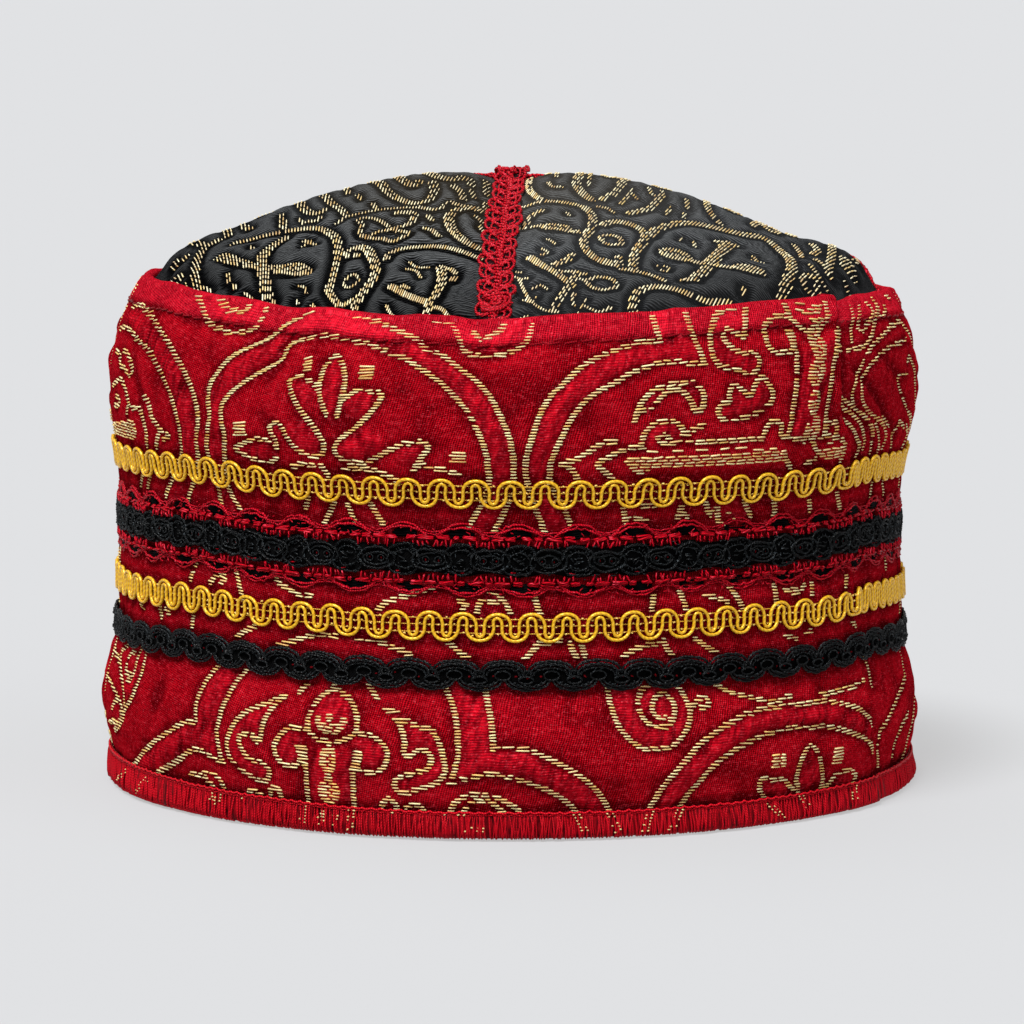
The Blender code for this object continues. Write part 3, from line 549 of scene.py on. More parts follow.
FOLD_LEFT, FOLD_RIGHT = -36.0, 80.0          # mirror lines of the repeat
CHART_LEFT = -132.0                          # read off up to here
CHART_RIGHT = 132.0
HU, HV = 0.85, 0.62                          # half-size of a stroke


def lens(cu, cv, ru, rv, lean_u):
    rows, v = [], cv - rv + 0.3
    while v <= cv + rv:
        w = ru * math.sqrt(max(0.0, 1 - ((v - cv) / rv) ** 2))
        if w > 0.4:
            shift = lean_u * (v - cv)
            rows.append((v, cu - w + shift, cu + w + shift))
        v += ROW
    return rows


def merge(spans, gap=0.15):
    spans = sorted(spans)
    out = [list(spans[0])]
    for a, b in spans[1:]:
        if a <= out[-1][1] + gap:
            out[-1][1] = max(out[-1][1], b)
        else:
            out.append([a, b])
    return out


def woven_rows(strokes, rows, beads, squares, hu=HU, hv=HV):
    """{row of weft: [(from, to), ...]} where gold lies on the face."""
    marks = {}

    def mark(k, a, b):
        marks.setdefault(k, []).append((a, b))

    for stroke in strokes:
        for u, v in spline(stroke, 0.25):
            for k in range(int(math.ceil((v - hv) / ROW)),
                           int(math.floor((v + hv) / ROW)) + 1):
                d = (k * ROW - v) / hv
                w = hu * math.sqrt(max(0.0, 1 - d * d))
                mark(k, u - w, u + w)
    for v, a, b in rows:
        mark(int(round(v / ROW)), a, b)
    for bead in beads:
        for v, a, b in lens(*bead):
            mark(int(round(v / ROW)), a, b)
    for cu, cv, w, h in squares:
        k0, k1 = round((cv - h / 2) / ROW), round((cv + h / 2) / ROW)
        for j, k in enumerate(range(int(k0), int(k1))):
            mark(k, cu - w / 2 + 0.3 * (j % 2), cu + w / 2)
    return {k: merge(s) for k, s in marks.items()}


FRONT_ROWS = woven_rows(FRONT_STROKES, ROWS_FILLED, BEADS_TOP + BEADS_FOOT,
                        SQUARES)
UNDER_WOVEN = woven_rows(UNDER_LAP, UNDER_ROWS, [], [], 0.66, 0.55)

# raster of the chart: how far each place is from gold, and what is figure
STEP = 0.5
RU = np.arange(-136, 136 + STEP, STEP)
RV = np.arange(0, 118 + STEP, STEP)


def distance_field(strokes):
    pts = np.vstack([spline(s, 0.8) for s in strokes])
    tree = kdtree.KDTree(len(pts))
    for i, (u, v) in enumerate(pts):
        tree.insert((u, v, 0.0), i)
    tree.balance()
    out = np.empty((len(RU), len(RV)))
    for i, u in enumerate(RU):
        for j, v in enumerate(RV):
            out[i, j] = tree.find((u, v, 0.0))[2]
    return out


def figure_field():
    """1 inside a figure, 0 on the ground."""
    out = np.zeros((len(RU), len(RV)), bool)
    for parts in FIGURES:
        poly = np.vstack([np.array(p)[::-1] if back else np.array(p)
                          for p, back in parts])
        poly = spline(np.vstack([poly, poly[:1]]), 1.0)
        a, b = poly[:-1], poly[1:]
        for j, v in enumerate(RV):
            cross = (a[:, 1] <= v) != (b[:, 1] <= v)
            if not cross.any():
                continue
            p, q = a[cross], b[cross]
            us = np.sort(p[:, 0] + (v - p[:, 1]) / (q[:, 1] - p[:, 1])
                         * (q[:, 0] - p[:, 0]))
            for u0, u1 in zip(us[::2], us[1::2]):
                out[(RU >= u0) & (RU <= u1), j] ^= True
    return out.astype(float)


DISTANCE = distance_field(FRONT_STROKES)
UNDER_DISTANCE = distance_field(UNDER_LAP)
FIGURE = figure_field()
for _ in range(2):                           # soften its edges
    pad = np.pad(FIGURE, 1, mode="edge")
    FIGURE = (pad[1:-1, 1:-1] * 2 + pad[:-2, 1:-1] + pad[2:, 1:-1]
              + pad[1:-1, :-2] + pad[1:-1, 2:]) / 6.0


def read(raster, u, v):
    fu = np.clip((np.asarray(u) - RU[0]) / STEP, 0, len(RU) - 1.001)
    fv = np.clip((np.asarray(v) - RV[0]) / STEP, 0, len(RV) - 1.001)
    i, j = fu.astype(int), fv.astype(int)
    fu, fv = fu - i, fv - j
    return (raster[i, j] * (1 - fu) * (1 - fv) + raster[i + 1, j] * fu
            * (1 - fv) + raster[i, j + 1] * (1 - fu) * fv
            + raster[i + 1, j + 1] * fu * fv)


def folded(u):
    """The chart's u for cloth that the half-unit repeats over."""
    t = np.mod(np.asarray(u) - FOLD_LEFT, 232.0)
    t = np.where(t > 116.0, 232.0 - t, t)
    return t + FOLD_LEFT


def fields(t, v):
    """Distance to gold and figure at t mm of cloth. t runs from the lap
    round the cap: -6 .. GIRTH + lap; u = t wrapped on the drawn part."""
    t, v = np.asarray(t, float), np.asarray(v, float)
    u = np.where(t > GIRTH / 2, t - GIRTH, t)
    under = (t <= CHART_RIGHT)              # the lower layer, right of the lap
    drawn = (t > GIRTH / 2) & (u >= CHART_LEFT)
    f = folded(t)
    d = np.where(under, read(UNDER_DISTANCE, u, v),
                 np.where(drawn, read(DISTANCE, u, v), read(DISTANCE, f, v)))
    g = np.where(under, 0.25, np.where(drawn, read(FIGURE, u, v),
                                       read(FIGURE, f, v)))
    return d, g


# where trims are sewn on, the cloth is drawn in
SEWN = ((77.0, 4.4, 0.30), (62.3, 8.5, 0.35), (47.4, 4.2, 0.30),
        (36.8, 4.6, 0.35), (6.2, 1.6, 0.35), (111.6, 1.3, 0.26))


def relief(t, v):
    """Height of the cloth over its plain shape, in mm."""
    t, v = np.asarray(t, float), np.asarray(v, float)
    d, g = fields(t, v)
    puff = 1.0 - np.exp(-(d / 1.5) ** 2)
    h = puff * (0.30 + 0.42 * g) - 0.24
    # the figures draw up in short puckers across the weft
    h += g * puff * (0.50 * cloth_noise(t - 0.3 * v, v, 2.4, 6.5, 3)
                     + 0.16 * cloth_noise(t, v, 4.2, 2.6, 41))
    h += (1 - g) * (0.13 * cloth_noise(t + 0.6 * v, v, 5.0, 4.0, 4)
                    + 0.06 * cloth_noise(t - 0.5 * v, v, 2.8, 2.4, 42))
    h += 0.30 * cloth_noise(t, v, 26, 20, 5)
    h += 0.27 * cloth_noise(t + 0.4 * v, v, 11, 9, 6)
    # gathers beside each line of sewing
    for at, wide, depth in SEWN:
        near = np.exp(-((v - at) / (wide + 2.4)) ** 2)
        on = np.exp(-((v - at) / wide) ** 4)
        h += near * 0.34 * cloth_noise(t, v, 4.2, 30, int(at) + 11)
        h -= on * depth
    # soft slanting creases where the strip is drawn to the lap
    u = np.where(t > GIRTH / 2, t - GIRTH, t)
    for cu, cv, run, slant, wide, deep in CREASES:
        du, dv = u - cu, v - cv
        a = math.radians(slant)
        along_it = du * math.cos(a) + dv * math.sin(a)
        across = -du * math.sin(a) + dv * math.cos(a)
        h += deep * np.exp(-(along_it / run) ** 2 - (across / wide) ** 2)
    return h


# (u, v, half-length, slant, half-width, depth)
CREASES = (
    (103, 96, 12, -35, 1.5, -0.7), (106, 91, 12, -38, 1.3, 0.5),
    (102, 88, 11, -42, 1.3, -0.6), (108, 84, 9, -46, 1.2, 0.45),
    (118, 100, 12, -20, 2.2, -0.5), (120, 90, 10, -30, 2.0, 0.4),
    (124, 84, 9, -25, 1.6, -0.4), (102, 104, 9, -10, 1.6, 0.4),
    (-43, 84, 13, -52, 2.0, 0.45), (-30, 89, 10, -62, 2.2, -0.5),
    (-51, 107, 6, 70, 1.6, -0.5), (-49, 101, 7, 62, 1.8, 0.35),
    (-11, 106, 8, -58, 1.7, -0.6), (-6, 101, 8, -60, 1.8, 0.4),
    (-3, 110.5, 7, -12, 1.5, -0.5), (6, 108, 7, 20, 1.8, 0.3),
    (22, 92, 16, -40, 4.5, -0.35), (36, 78, 12, -20, 3.0, 0.3),
    (-104, 96, 12, -50, 2.4, -0.5), (-96, 90, 9, -60, 2.0, 0.4),
    (-86, 78, 9, 60, 2.0, -0.4), (-72, 52, 6, 80, 1.4, -0.4),
    (60, 39, 8, 5, 1.5, 0.3), (88, 30, 12, -10, 2.6, -0.35),
    (48, 14, 14, 30, 3.0, 0.35), (-24, 8, 12, 5, 3.0, 0.25),
    (-92, 24, 10, 60, 2.6, -0.4), (118, 50, 5, 85, 1.5, -0.4),
    (150, 96, 12, 70, 2.4, -0.45), (176, 24, 12, -50, 2.6, -0.4),
    (-160, 100, 13, 60, 2.6, -0.45), (-205, 22, 14, 30, 2.6, 0.4),
    (-240, 94, 12, -60, 2.4, -0.4), (250, 90, 12, 65, 2.2, -0.4),
    (220, 30, 13, 20, 2.8, 0.35), (285, 100, 10, -70, 2.0, -0.4),
)


# ------------------------------------------------------------ on the surface
LAP_THICK = 2.2                               # the upper layer at the lap


def place_band(t, v, off=0.0, with_relief=True):
    """Point of the band at t mm round the strip, v mm up it. t runs from
    just before the lap (the lower layer) to the lap (the upper layer)."""
    t, v = np.asarray(t, float), np.asarray(v, float)
    off = np.asarray(off, float)
    bearing = np.degrees(t / ROUND)
    upper = t > GIRTH / 2
    r = plain_radius(bearing, v) + off
    r = r + np.where(upper, lap_step(bearing, v), 0.0)
    if with_relief:
        r = r + relief(t, v)
    a = np.radians(bearing)
    return np.stack([r * np.sin(a), -r * np.cos(a),
                     band_height(bearing, v) - lap_drop(t, v)], -1)


def out_of_band(t):
    a = np.asarray(t, float) / ROUND
    return np.stack([np.sin(a), -np.cos(a), np.zeros_like(a)], -1)


def lap_drop(t, v):
    """How far the lower layer hangs below the rim beside the lap."""
    past = np.asarray(t, float) - lap_u(v)
    return np.where(np.asarray(t) < GIRTH / 2, 2.0 * np.exp(
        -(np.maximum(past - 1.0, 0.0) / 11.0) ** 2), 0.0) * smooth(
            (np.asarray(v, float) - 98.0) / 18.0)


def lap_u(v):
    return np.radians(lap_bearing(np.asarray(v, float))) * ROUND


# (section height, outward offset) over the folded rim and down inside it
RIM_FOLD = ((117.0, -0.30), (117.35, -0.9), (117.45, -1.6), (117.2, -2.3),
            (116.5, -2.8), (115.0, -3.0), (112.6, -3.1))


def soften(field, across, down):
    """Box average over a grid."""
    out = field
    for axis, wide in ((0, across), (1, down)):
        for _ in range(2):
            pad = [(0, 0), (0, 0)]
            pad[axis] = (wide, wide)
            p = np.pad(out, pad, mode="edge")
            c = np.cumsum(p, axis)
            c = np.concatenate([np.zeros_like(np.take(c, [0], axis)), c],
                               axis)
            n = 2 * wide + 1
            size = out.shape[axis]
            out = (np.take(c, np.arange(n, n + size), axis)
                   - np.take(c, np.arange(size), axis)) / n
    return out


# where painted shade gathers beside the trims: (v, half-width) of each trim
TRIM_EDGES = ((77.0, 3.6), (62.3, 8.2), (47.4, 3.6), (36.8, 3.4), (5.4, 1.5))


def painted_shade_field(t, v, seam):
    """0..1, painted shade close beside the trims, under the stitching below the rim and under the lap."""
    out = np.zeros_like(t)
    for at, half in TRIM_EDGES:
        past = abs(v - at) - half
        deeper = 1.5 if v < at else 0.9       # a little more below a trim
        out = np.maximum(out, 0.62 * np.exp(-(max(past, 0.0) / deeper) ** 1.6))
    # painted shade under the stitching below the rim
    out = np.maximum(out, 0.30 * np.exp(-((v - 111.6) / 0.7) ** 2))
    # painted shadow of the lap on the lower layer beside it, and painted shade fading along that layer
    past = t - seam
    under = (t < GIRTH / 2) & (past > -1.0)
    out = np.where(under, np.maximum(out, 0.9 * float(lap_full(v)) * np.exp(
        -(np.maximum(past, 0.0) / 3.2) ** 1.3)), out)
    lower = 0.30 * np.exp(-(np.maximum(past, 0.0) / 26.0) ** 2)
    out = np.where(under, np.maximum(out, lower * float(
        smooth((v - 70.0) / 12.0))), out)
    # less painted shade on the lap's own edge: a painted highlight where it catches the light
    end = t - (seam + GIRTH)
    out = np.where((end > -2.6) & (end < -0.9), out * 0.4, out)
    return out


def build_band(mat):
    columns = 570
    heights = np.concatenate([[0.9], np.linspace(1.8, 116.5, 119)])
    inner = [100.0, 84.0, 66.0, 48.0, 30.0, 14.0, 2.2]
    rows = len(heights) + len(RIM_FOLD) + len(inner)
    # closer together round the front, where the lap is
    k = np.linspace(0.0, 1.0, columns)
    k = k - 0.13 / (2 * math.pi) * np.sin(4 * math.pi * k - 1.9) * np.sin(
        math.pi * k)
    k = np.maximum.accumulate(np.clip(k, 0.0, 1.0))
    verts = np.zeros((columns, rows, 3))
    uv = np.zeros((columns, rows, 2))
    figure = np.zeros((columns, rows))
    gold = np.zeros((columns, rows))
    raised = np.zeros((columns, rows))
    painted_shade = np.zeros((columns, rows))
    for j in range(rows):
        if j < len(heights):
            v, off, share = heights[j], 0.0, 1.0
        elif j < len(heights) + len(RIM_FOLD):
            v, off = RIM_FOLD[j - len(heights)]
            share = max(0.0, 1.0 - (j - len(heights)) / 4.0)
        else:
            v, off, share = inner[j - len(heights) - len(RIM_FOLD)], -2.6, 0.0
        seam = float(lap_u(min(v, 116.5)))
        t = seam - 5.0 + k * (GIRTH + 5.0)
        # the lower layer dives under the lap; the upper edge is turned in
        start = smooth((t - (seam - 5.0)) / 5.0)
        end = t - (seam + GIRTH)              # 0 at the lap's edge
        turned = np.where(end > -1.1, 1.0 - np.sqrt(np.maximum(
            0.0, 1.0 - ((end + 1.1) / 1.1) ** 2)), 0.0)
        open_ = float(lap_full(v))
        puffed = np.exp(-((end + 2.0) / 1.9) ** 2) * 0.6 * open_
        vv = np.full_like(t, min(v, 116.5))
        h = relief(t, vv) * share
        h = np.where(t < seam + 1.5, np.minimum(h, 0.1), h)
        lift = (off + h - 0.55 * (1 - start) + puffed
                - LAP_THICK * open_ * turned)
        p = place_band(t, vv, lift, False)
        p[:, 2] += max(v - 116.5, 0.0)
        if v > 100:                           # soft unevenness of the fold
            p[:, 2] += smooth((v - 100) / 16.5) * (
                0.35 * cloth_noise(t, t * 0, 13, 9, 71)
                + 0.16 * cloth_noise(t, t * 0, 4.5, 9, 72))
        verts[:, j] = p
        uv[:, j, 0] = t
        uv[:, j, 1] = v if j < len(heights) else (
            116.5 + (j - len(heights)) * 1.2)
        d, g = fields(t, vv)
        figure[:, j] = g * share
        # painted shade of the cloth beside the gold floats
        gold[:, j] = np.exp(-(d / 0.9) ** 2) * share
        raised[:, j] = h
        # painted shade beside the trims and under the lap
        painted_shade[:, j] = painted_shade_field(t, v, seam)
    # painted shade in the hollows of the relief and painted highlight on its ridges
    painted_hollow_shade = np.clip((soften(raised, 4, 3) - raised) / 0.16, -1, 1)
    painted_hollow_shade[:, len(heights):] = 0.0
    piece = new_mesh("band_brocade", verts, grid_faces(columns, rows), mat,
                     uv=uv.reshape(-1, 2) * 0.1,
                     attrs={"figure": figure.ravel(), "gold": gold.ravel(),
                            "painted_hollow_shade": np.maximum(painted_hollow_shade, 0).ravel(),
                            "painted_ridge_highlight": np.maximum(-painted_hollow_shade, 0).ravel(),
                            "painted_shade": painted_shade.ravel()},
                     take="red_brocade")
    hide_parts("side_band")
    return piece


# ------------------------------------------------------------- floats of gold
def grains(at, normal, along_, half, wide=0.22, tall=0.26):
    """Closed grains of thread: centres, normals, directions, half-lengths."""
    at, normal = np.asarray(at, float), np.asarray(normal, float)
    along_ = along_ - normal * np.sum(along_ * normal, 1, keepdims=True)
    along_ /= np.linalg.norm(along_, axis=1, keepdims=True)
    side = np.cross(normal, along_)
    half = np.asarray(half, float)[:, None]
    sink = -0.10 * normal
    tip0 = at - along_ * half + sink
    tip1 = at + along_ * half + sink
    inset = np.minimum(half * 0.5, 0.32)
    rings = []
    for sign in (-1.0, 1.0):
        c = at + along_ * sign * (half - inset)
        rings += [c + side * wide - normal * 0.11, c + normal * tall,
                  c - side * wide - normal * 0.11]
    verts = np.stack([tip0, tip1] + rings, 1)
    f = []
    for k in range(3):
        n = (k + 1) % 3
        f += [(0, 2 + n, 2 + k), (2 + k, 2 + n, 5 + n), (2 + k, 5 + n, 5 + k),
              (5 + k, 5 + n, 1)]
    faces = (np.array(f)[None] + (np.arange(len(at)) * 8)[:, None, None]
             ).reshape(-1, 3)
    return verts.reshape(-1, 3), faces


def split_span(a, b, k, longest=2.15, gap=0.24):
    """Floats of one row between a and b, tied down brick-fashion."""
    length = b - a
    n = max(1, int(round(length / longest)))
    if n == 1:
        return [(a, b)]
    cuts = [a + length * (i + (0.25 if k % 2 else -0.05)) / n
            for i in range(1, n)]
    edges = [a] + cuts + [b]
    return [(p + gap / 2, q - gap / 2) for p, q in zip(edges, edges[1:])]


HIDDEN = ((34.2, 40.3), (57.2, 68.3))         # under the trims


def band_floats():
    """(t, v, half-length) of every float on the band."""
    out = []
    edge_low, edge_high = 0.9, 116.6
    for layer, woven in (("front", FRONT_ROWS), ("under", UNDER_WOVEN),
                         ("back", FRONT_ROWS)):
        for k, spans in sorted(woven.items()):
            v = k * ROW
            if not edge_low < v < edge_high:
                continue
            if any(lo < v < hi for lo, hi in HIDDEN):
                continue
            seam = float(lap_u(v))
            if layer == "front":
                lo, hi = CHART_LEFT + GIRTH, seam - 0.5 + GIRTH
                placed = [(a + GIRTH, b + GIRTH) for a, b in spans]
            elif layer == "under":
                lo, hi = seam + 0.4, CHART_RIGHT
                placed = list(spans)
            else:
                lo, hi = CHART_RIGHT, CHART_LEFT + GIRTH
                half = merge([(max(a, FOLD_LEFT), min(b, FOLD_RIGHT))
                              for a, b in spans
                              if b > FOLD_LEFT and a < FOLD_RIGHT] or
                             [(999, 999)])
                placed = []
                for n in range(0, 4):
                    placed += [(a + 232.0 * n, b + 232.0 * n)
                               for a, b in half]
                    placed += [(-72.0 - b + 232.0 * n, -72.0 - a + 232.0 * n)
                               for a, b in half]
                placed = merge([p for p in placed if p[0] < 900] or
                               [(999, 999)])
            for a, b in placed:
                a, b = max(a, lo), min(b, hi)
                if b - a < 0.5:
                    continue
                for p, q in split_span(a, b, k, 2.7):
                    out.append(((p + q) / 2, v, (q - p) / 2))
    return np.array(out)


def build_band_floats(mat):
    f = band_floats()
    rng = np.random.default_rng(5)
    t = f[:, 0] + rng.normal(0, 0.06, len(f))
    v = f[:, 1] + rng.normal(0, 0.035, len(f))
    keep = rng.uniform(0, 1, len(f)) > 0.012
    t, v, half = t[keep], v[keep], f[keep, 2] * rng.uniform(0.98, 1.16,
                                                            keep.sum())
    seam = lap_u(v)
    upper = t > GIRTH / 2
    end = t - (seam + GIRTH)
    lift = np.where(upper, np.exp(-((end + 2.0) / 1.9) ** 2) * 0.6
                    * lap_full(v), 0.0)
    at = place_band(t, v, lift + 0.08)
    # the weft rises a little to the right
    u = np.where(t > GIRTH / 2, t - GIRTH, t)
    drawn = smooth((-18.0 - u) / 26.0) * smooth((v - 80.0) / 12.0)
    slant = np.radians(-2.0 + 4.0 * cloth_noise(t, v, 40, 30, 8) + 13.0
                       * np.where(u > -110, drawn, 0.0)
                       + rng.normal(0, 3.0, len(t)))
    e = 0.5
    p1 = place_band(t + e * np.cos(slant), v + e * np.sin(slant), lift + 0.08)
    ahead = p1 - at
    normal = out_of_band(t) + 0.0
    dv = place_band(t, np.minimum(v + 0.6, 116.5), lift + 0.08) - at
    n = np.cross(ahead, dv)
    n /= np.linalg.norm(n, axis=1, keepdims=True) + 1e-9
    n = np.where(np.sum(n * normal, 1, keepdims=True) > 0.2, n, normal)
    verts, faces = grains(at, n, ahead, half, wide=0.22, tall=0.27)
    print("band floats", len(at), "tris", len(faces))
    uv = np.repeat(np.stack([t, v], 1), 8, 0)
    shade = np.repeat(rng.uniform(0, 1, len(at)), 8)
    return new_mesh("band_gold", verts, faces, mat, uv=uv * 0.1,
                    attrs={"strand": shade}, take="gold_gimp")

# ------------------------------------------------------------ the black crown
# Strokes of gold on the front half, in mm seen from above (x right, y back):
# (half-width, points). The back half has the same cloth turned round.
def oval(cx, cy, rx, ry, tilt=0.0, n=10):
    a = np.linspace(0, 2 * math.pi, n + 1)
    c, s = math.cos(math.radians(tilt)), math.sin(math.radians(tilt))
    px, py = rx * np.cos(a), ry * np.sin(a)
    return tuple(zip(cx + px * c - py * s, cy + px * s + py * c))


CROWN_RIGHT = [
 (1.15, ((23,-38.4),(24,-37),(26.5,-36.3),(29,-36.8),(31.5,-38.5),(32.6,-41),(32.3,-44),(31.5,-47.5),(30.6,-51),(30.3,-55),(30.2,-59.5))),
 (0.8, ((28,-59.3),(31,-59.6),(34,-60.5),(37,-62.4))),
 (1.2, ((34,-40.5),(35,-37),(37,-34),(39,-31.5),(42,-29),(46,-27.3),(50,-26.3),(54,-25),(56.5,-23.3),(58.7,-22),(61,-22.8),(62.5,-25.5),(63.8,-29),(64.8,-33),(65,-37),(64.8,-41),(64,-45),(63.5,-48.5),(62.8,-52),(62,-55.5))),
 (1.35, ((51.5,-33.5),(50.5,-37),(49.5,-41),(48.5,-45),(47.3,-49),(46.5,-52),(45,-56),(43,-59.7))),
 (0.7, ((48.6,-34.8),(50,-34),(53.5,-33))), (0.8, ((41,-61),(42.5,-60),(44,-60))),
 (1.0, ((42,-50),(45,-50.5),(50,-50.3),(53,-50))),
 (0.5, ((40.8,-38.5),(40.6,-39.9))), (0.5, ((43.7,-38.8),(43.9,-41.3))),
 (0.5, ((57,-36.8),(57.6,-38.8))), (0.5, ((56.8,-39.8),(59,-40.2))),
 (0.35, ((36,-54.6),(38.2,-54.8),(37.7,-56.8),(36.4,-56.6),(36,-54.6))), (0.5, ((54,-58.5),(53.8,-61))),
 (0.7, oval(25,-46,2.4,2.5)),
 (1.1, ((18.6,-30.5),(20,-33),(20.5,-36),(20.3,-40),(19.5,-44),(18.8,-48),(19.3,-51.5),(21,-54.5),(23.5,-57),(26.3,-58))),
 (1.0, ((27,-54),(26.8,-57),(23.5,-56))), (0.8, ((3.5,-27.2),(7,-26.8),(10,-27.2),(14,-28.3),(17,-29.3),(19,-31))),
 (0.9, ((5.2,-38),(5.5,-35.5),(6.5,-33.5),(8.6,-32.2))), (0.7, ((4,-39.5),(6,-39.8),(9,-39.7))),
 (0.6, ((14,-43),(17,-43.4),(17.4,-42.2))), (0.5, ((14.6,-33.2),(14.9,-34.4))),
 (0.9, ((4.6,-5),(4.5,-10),(4.7,-15),(5.7,-20),(7.5,-24.5),(9,-27))),
 (1.2, ((17,-5),(17,-9),(16.4,-14),(16,-19),(17.5,-23),(19.5,-25.8))), (0.5, ((19,-5),(19,-12),(18.8,-19))),
 (1.1, ((27.2,-4.6),(27.3,-8),(27,-12),(26,-18),(24.5,-22),(22.3,-25.3))),
 (0.5, ((29,-17.5),(28,-22),(26.5,-26.5))), (0.5, ((28.5,-19),(30.2,-22))),
 (0.6, ((32.8,-15),(33.6,-18.2),(35.6,-18),(36,-15))), (0.7, oval(35.5,-8.5,1.9,3.6)),
 (0.7, oval(23.5,-9,1.7,3.8)), (0.6, ((11,-5),(11.2,-10),(11,-14))), (0.6, ((9.5,-17),(10.3,-19.5),(12.5,-20))), (0.9, ((9,-4.7),(9,-10))),
 (1.0, ((36,-18),(34.5,-22),(33,-26),(30.5,-29),(28.5,-31))), (0.6, ((21.5,-29),(23.5,-29.5),(25,-31.3))),
 (0.9, ((46.3,-4.8),(46.2,-12),(46.8,-18),(49.3,-23))), (0.5, ((38,-22),(37,-27))), (0.6, ((41.6,-16),(41.9,-20.5))), (0.5, ((41.3,-23.5),(41,-26))),
 (0.9, oval(52.2,-8.5,1.5,4.2)), (0.9, ((58,-4.7),(59.3,-9),(58,-14),(57.2,-17))), (1.2, ((42.5,-6),(45,-6.5))), (1.3, ((63,-6),(66,-7.5),(65.5,-13))),
 (0.9, ((74.4,-4.6),(74.3,-12),(73.8,-22),(73,-30),(72.8,-34.8))), (0.7, ((70.5,-28.5),(72,-31),(72.8,-34))),
 (0.9, ((70.2,-17),(71,-20),(70,-24))), (0.8, oval(68.6,-43,1.5,3.4,-12)), (0.6, ((66.3,-20),(67.3,-25),(67.5,-29))),
 (1.15, ((29.9,-77.5),(30.2,-73),(31,-69.3),(33,-67),(36.5,-66),(40,-66.3),(43,-67.3),(46,-67.6),(48.5,-66.3),(50.7,-65))),
 (0.5, ((34.3,-75.3),(37.3,-74.6))),
 (1.15, ((7,-55.5),(8.5,-58),(10.5,-60.5),(13,-63),(15,-65.5),(16.8,-68))), (1.0, ((16.6,-54.3),(15,-57),(13,-59),(11.5,-60.7))),
 (0.9, ((17.8,-62),(16.7,-66),(15.5,-70),(14,-74),(13,-77.5))), (0.7, ((14,-62),(17,-62),(19.8,-62.4))),
 (0.7, oval(23.4,-66,3.2,2.8)), (0.6, ((18.3,-64.5),(20.2,-65.2))),
 (0.55, ((5,-64),(6,-68),(7.2,-72),(9,-76),(12,-78.6),(14,-78.6))), (0.5, ((8,-69),(10,-68),(11.3,-69.5))), (0.5, ((6.5,-73),(8,-74.6),(9.2,-72.5))),
 (0.35, ((20,-73),(19,-76.5),(17.6,-80.3))), (0.5, ((17.5,-71),(17,-74),(17.4,-76))), (0.6, ((20,-76),(22,-77.2),(24,-76.6),(25.2,-75.3))),
 (0.5, ((3.8,-60),(5,-60.6))), (0.5, ((4,-62.5),(7,-64.3))), (0.5, ((5,-80.5),(7.2,-79.5))), (0.5, ((9.5,-51.8),(11,-53.7),(9.7,-54.6))), (0.5, ((10.8,-47.3),(12.4,-49.6))),
 (0.6, ((54,-72),(57,-68.5),(61,-64.5),(66,-58.5))),
 (0.7, oval(61,-13.5,1.6,2.6,30)), (0.6, ((69,-34),(70.5,-38),(72.5,-40))), (0.6, ((76.5,-30),(77.5,-34))), (0.55, ((67,-50),(69,-48.4),(71,-45.5))), (0.5, ((59.5,-60.5),(62,-58.2))), (0.5, ((79.5,-8),(79.8,-13),(78.6,-15))),
]
CROWN_RIGHT_SOLID = [(39.6,-48.6,3.8,2.9,0),(55.6,-48.7,3.5,2.6,10),(12.4,-41.2,3.9,2.0,-12),(77.2,-21.5,1.9,4.4,0)]
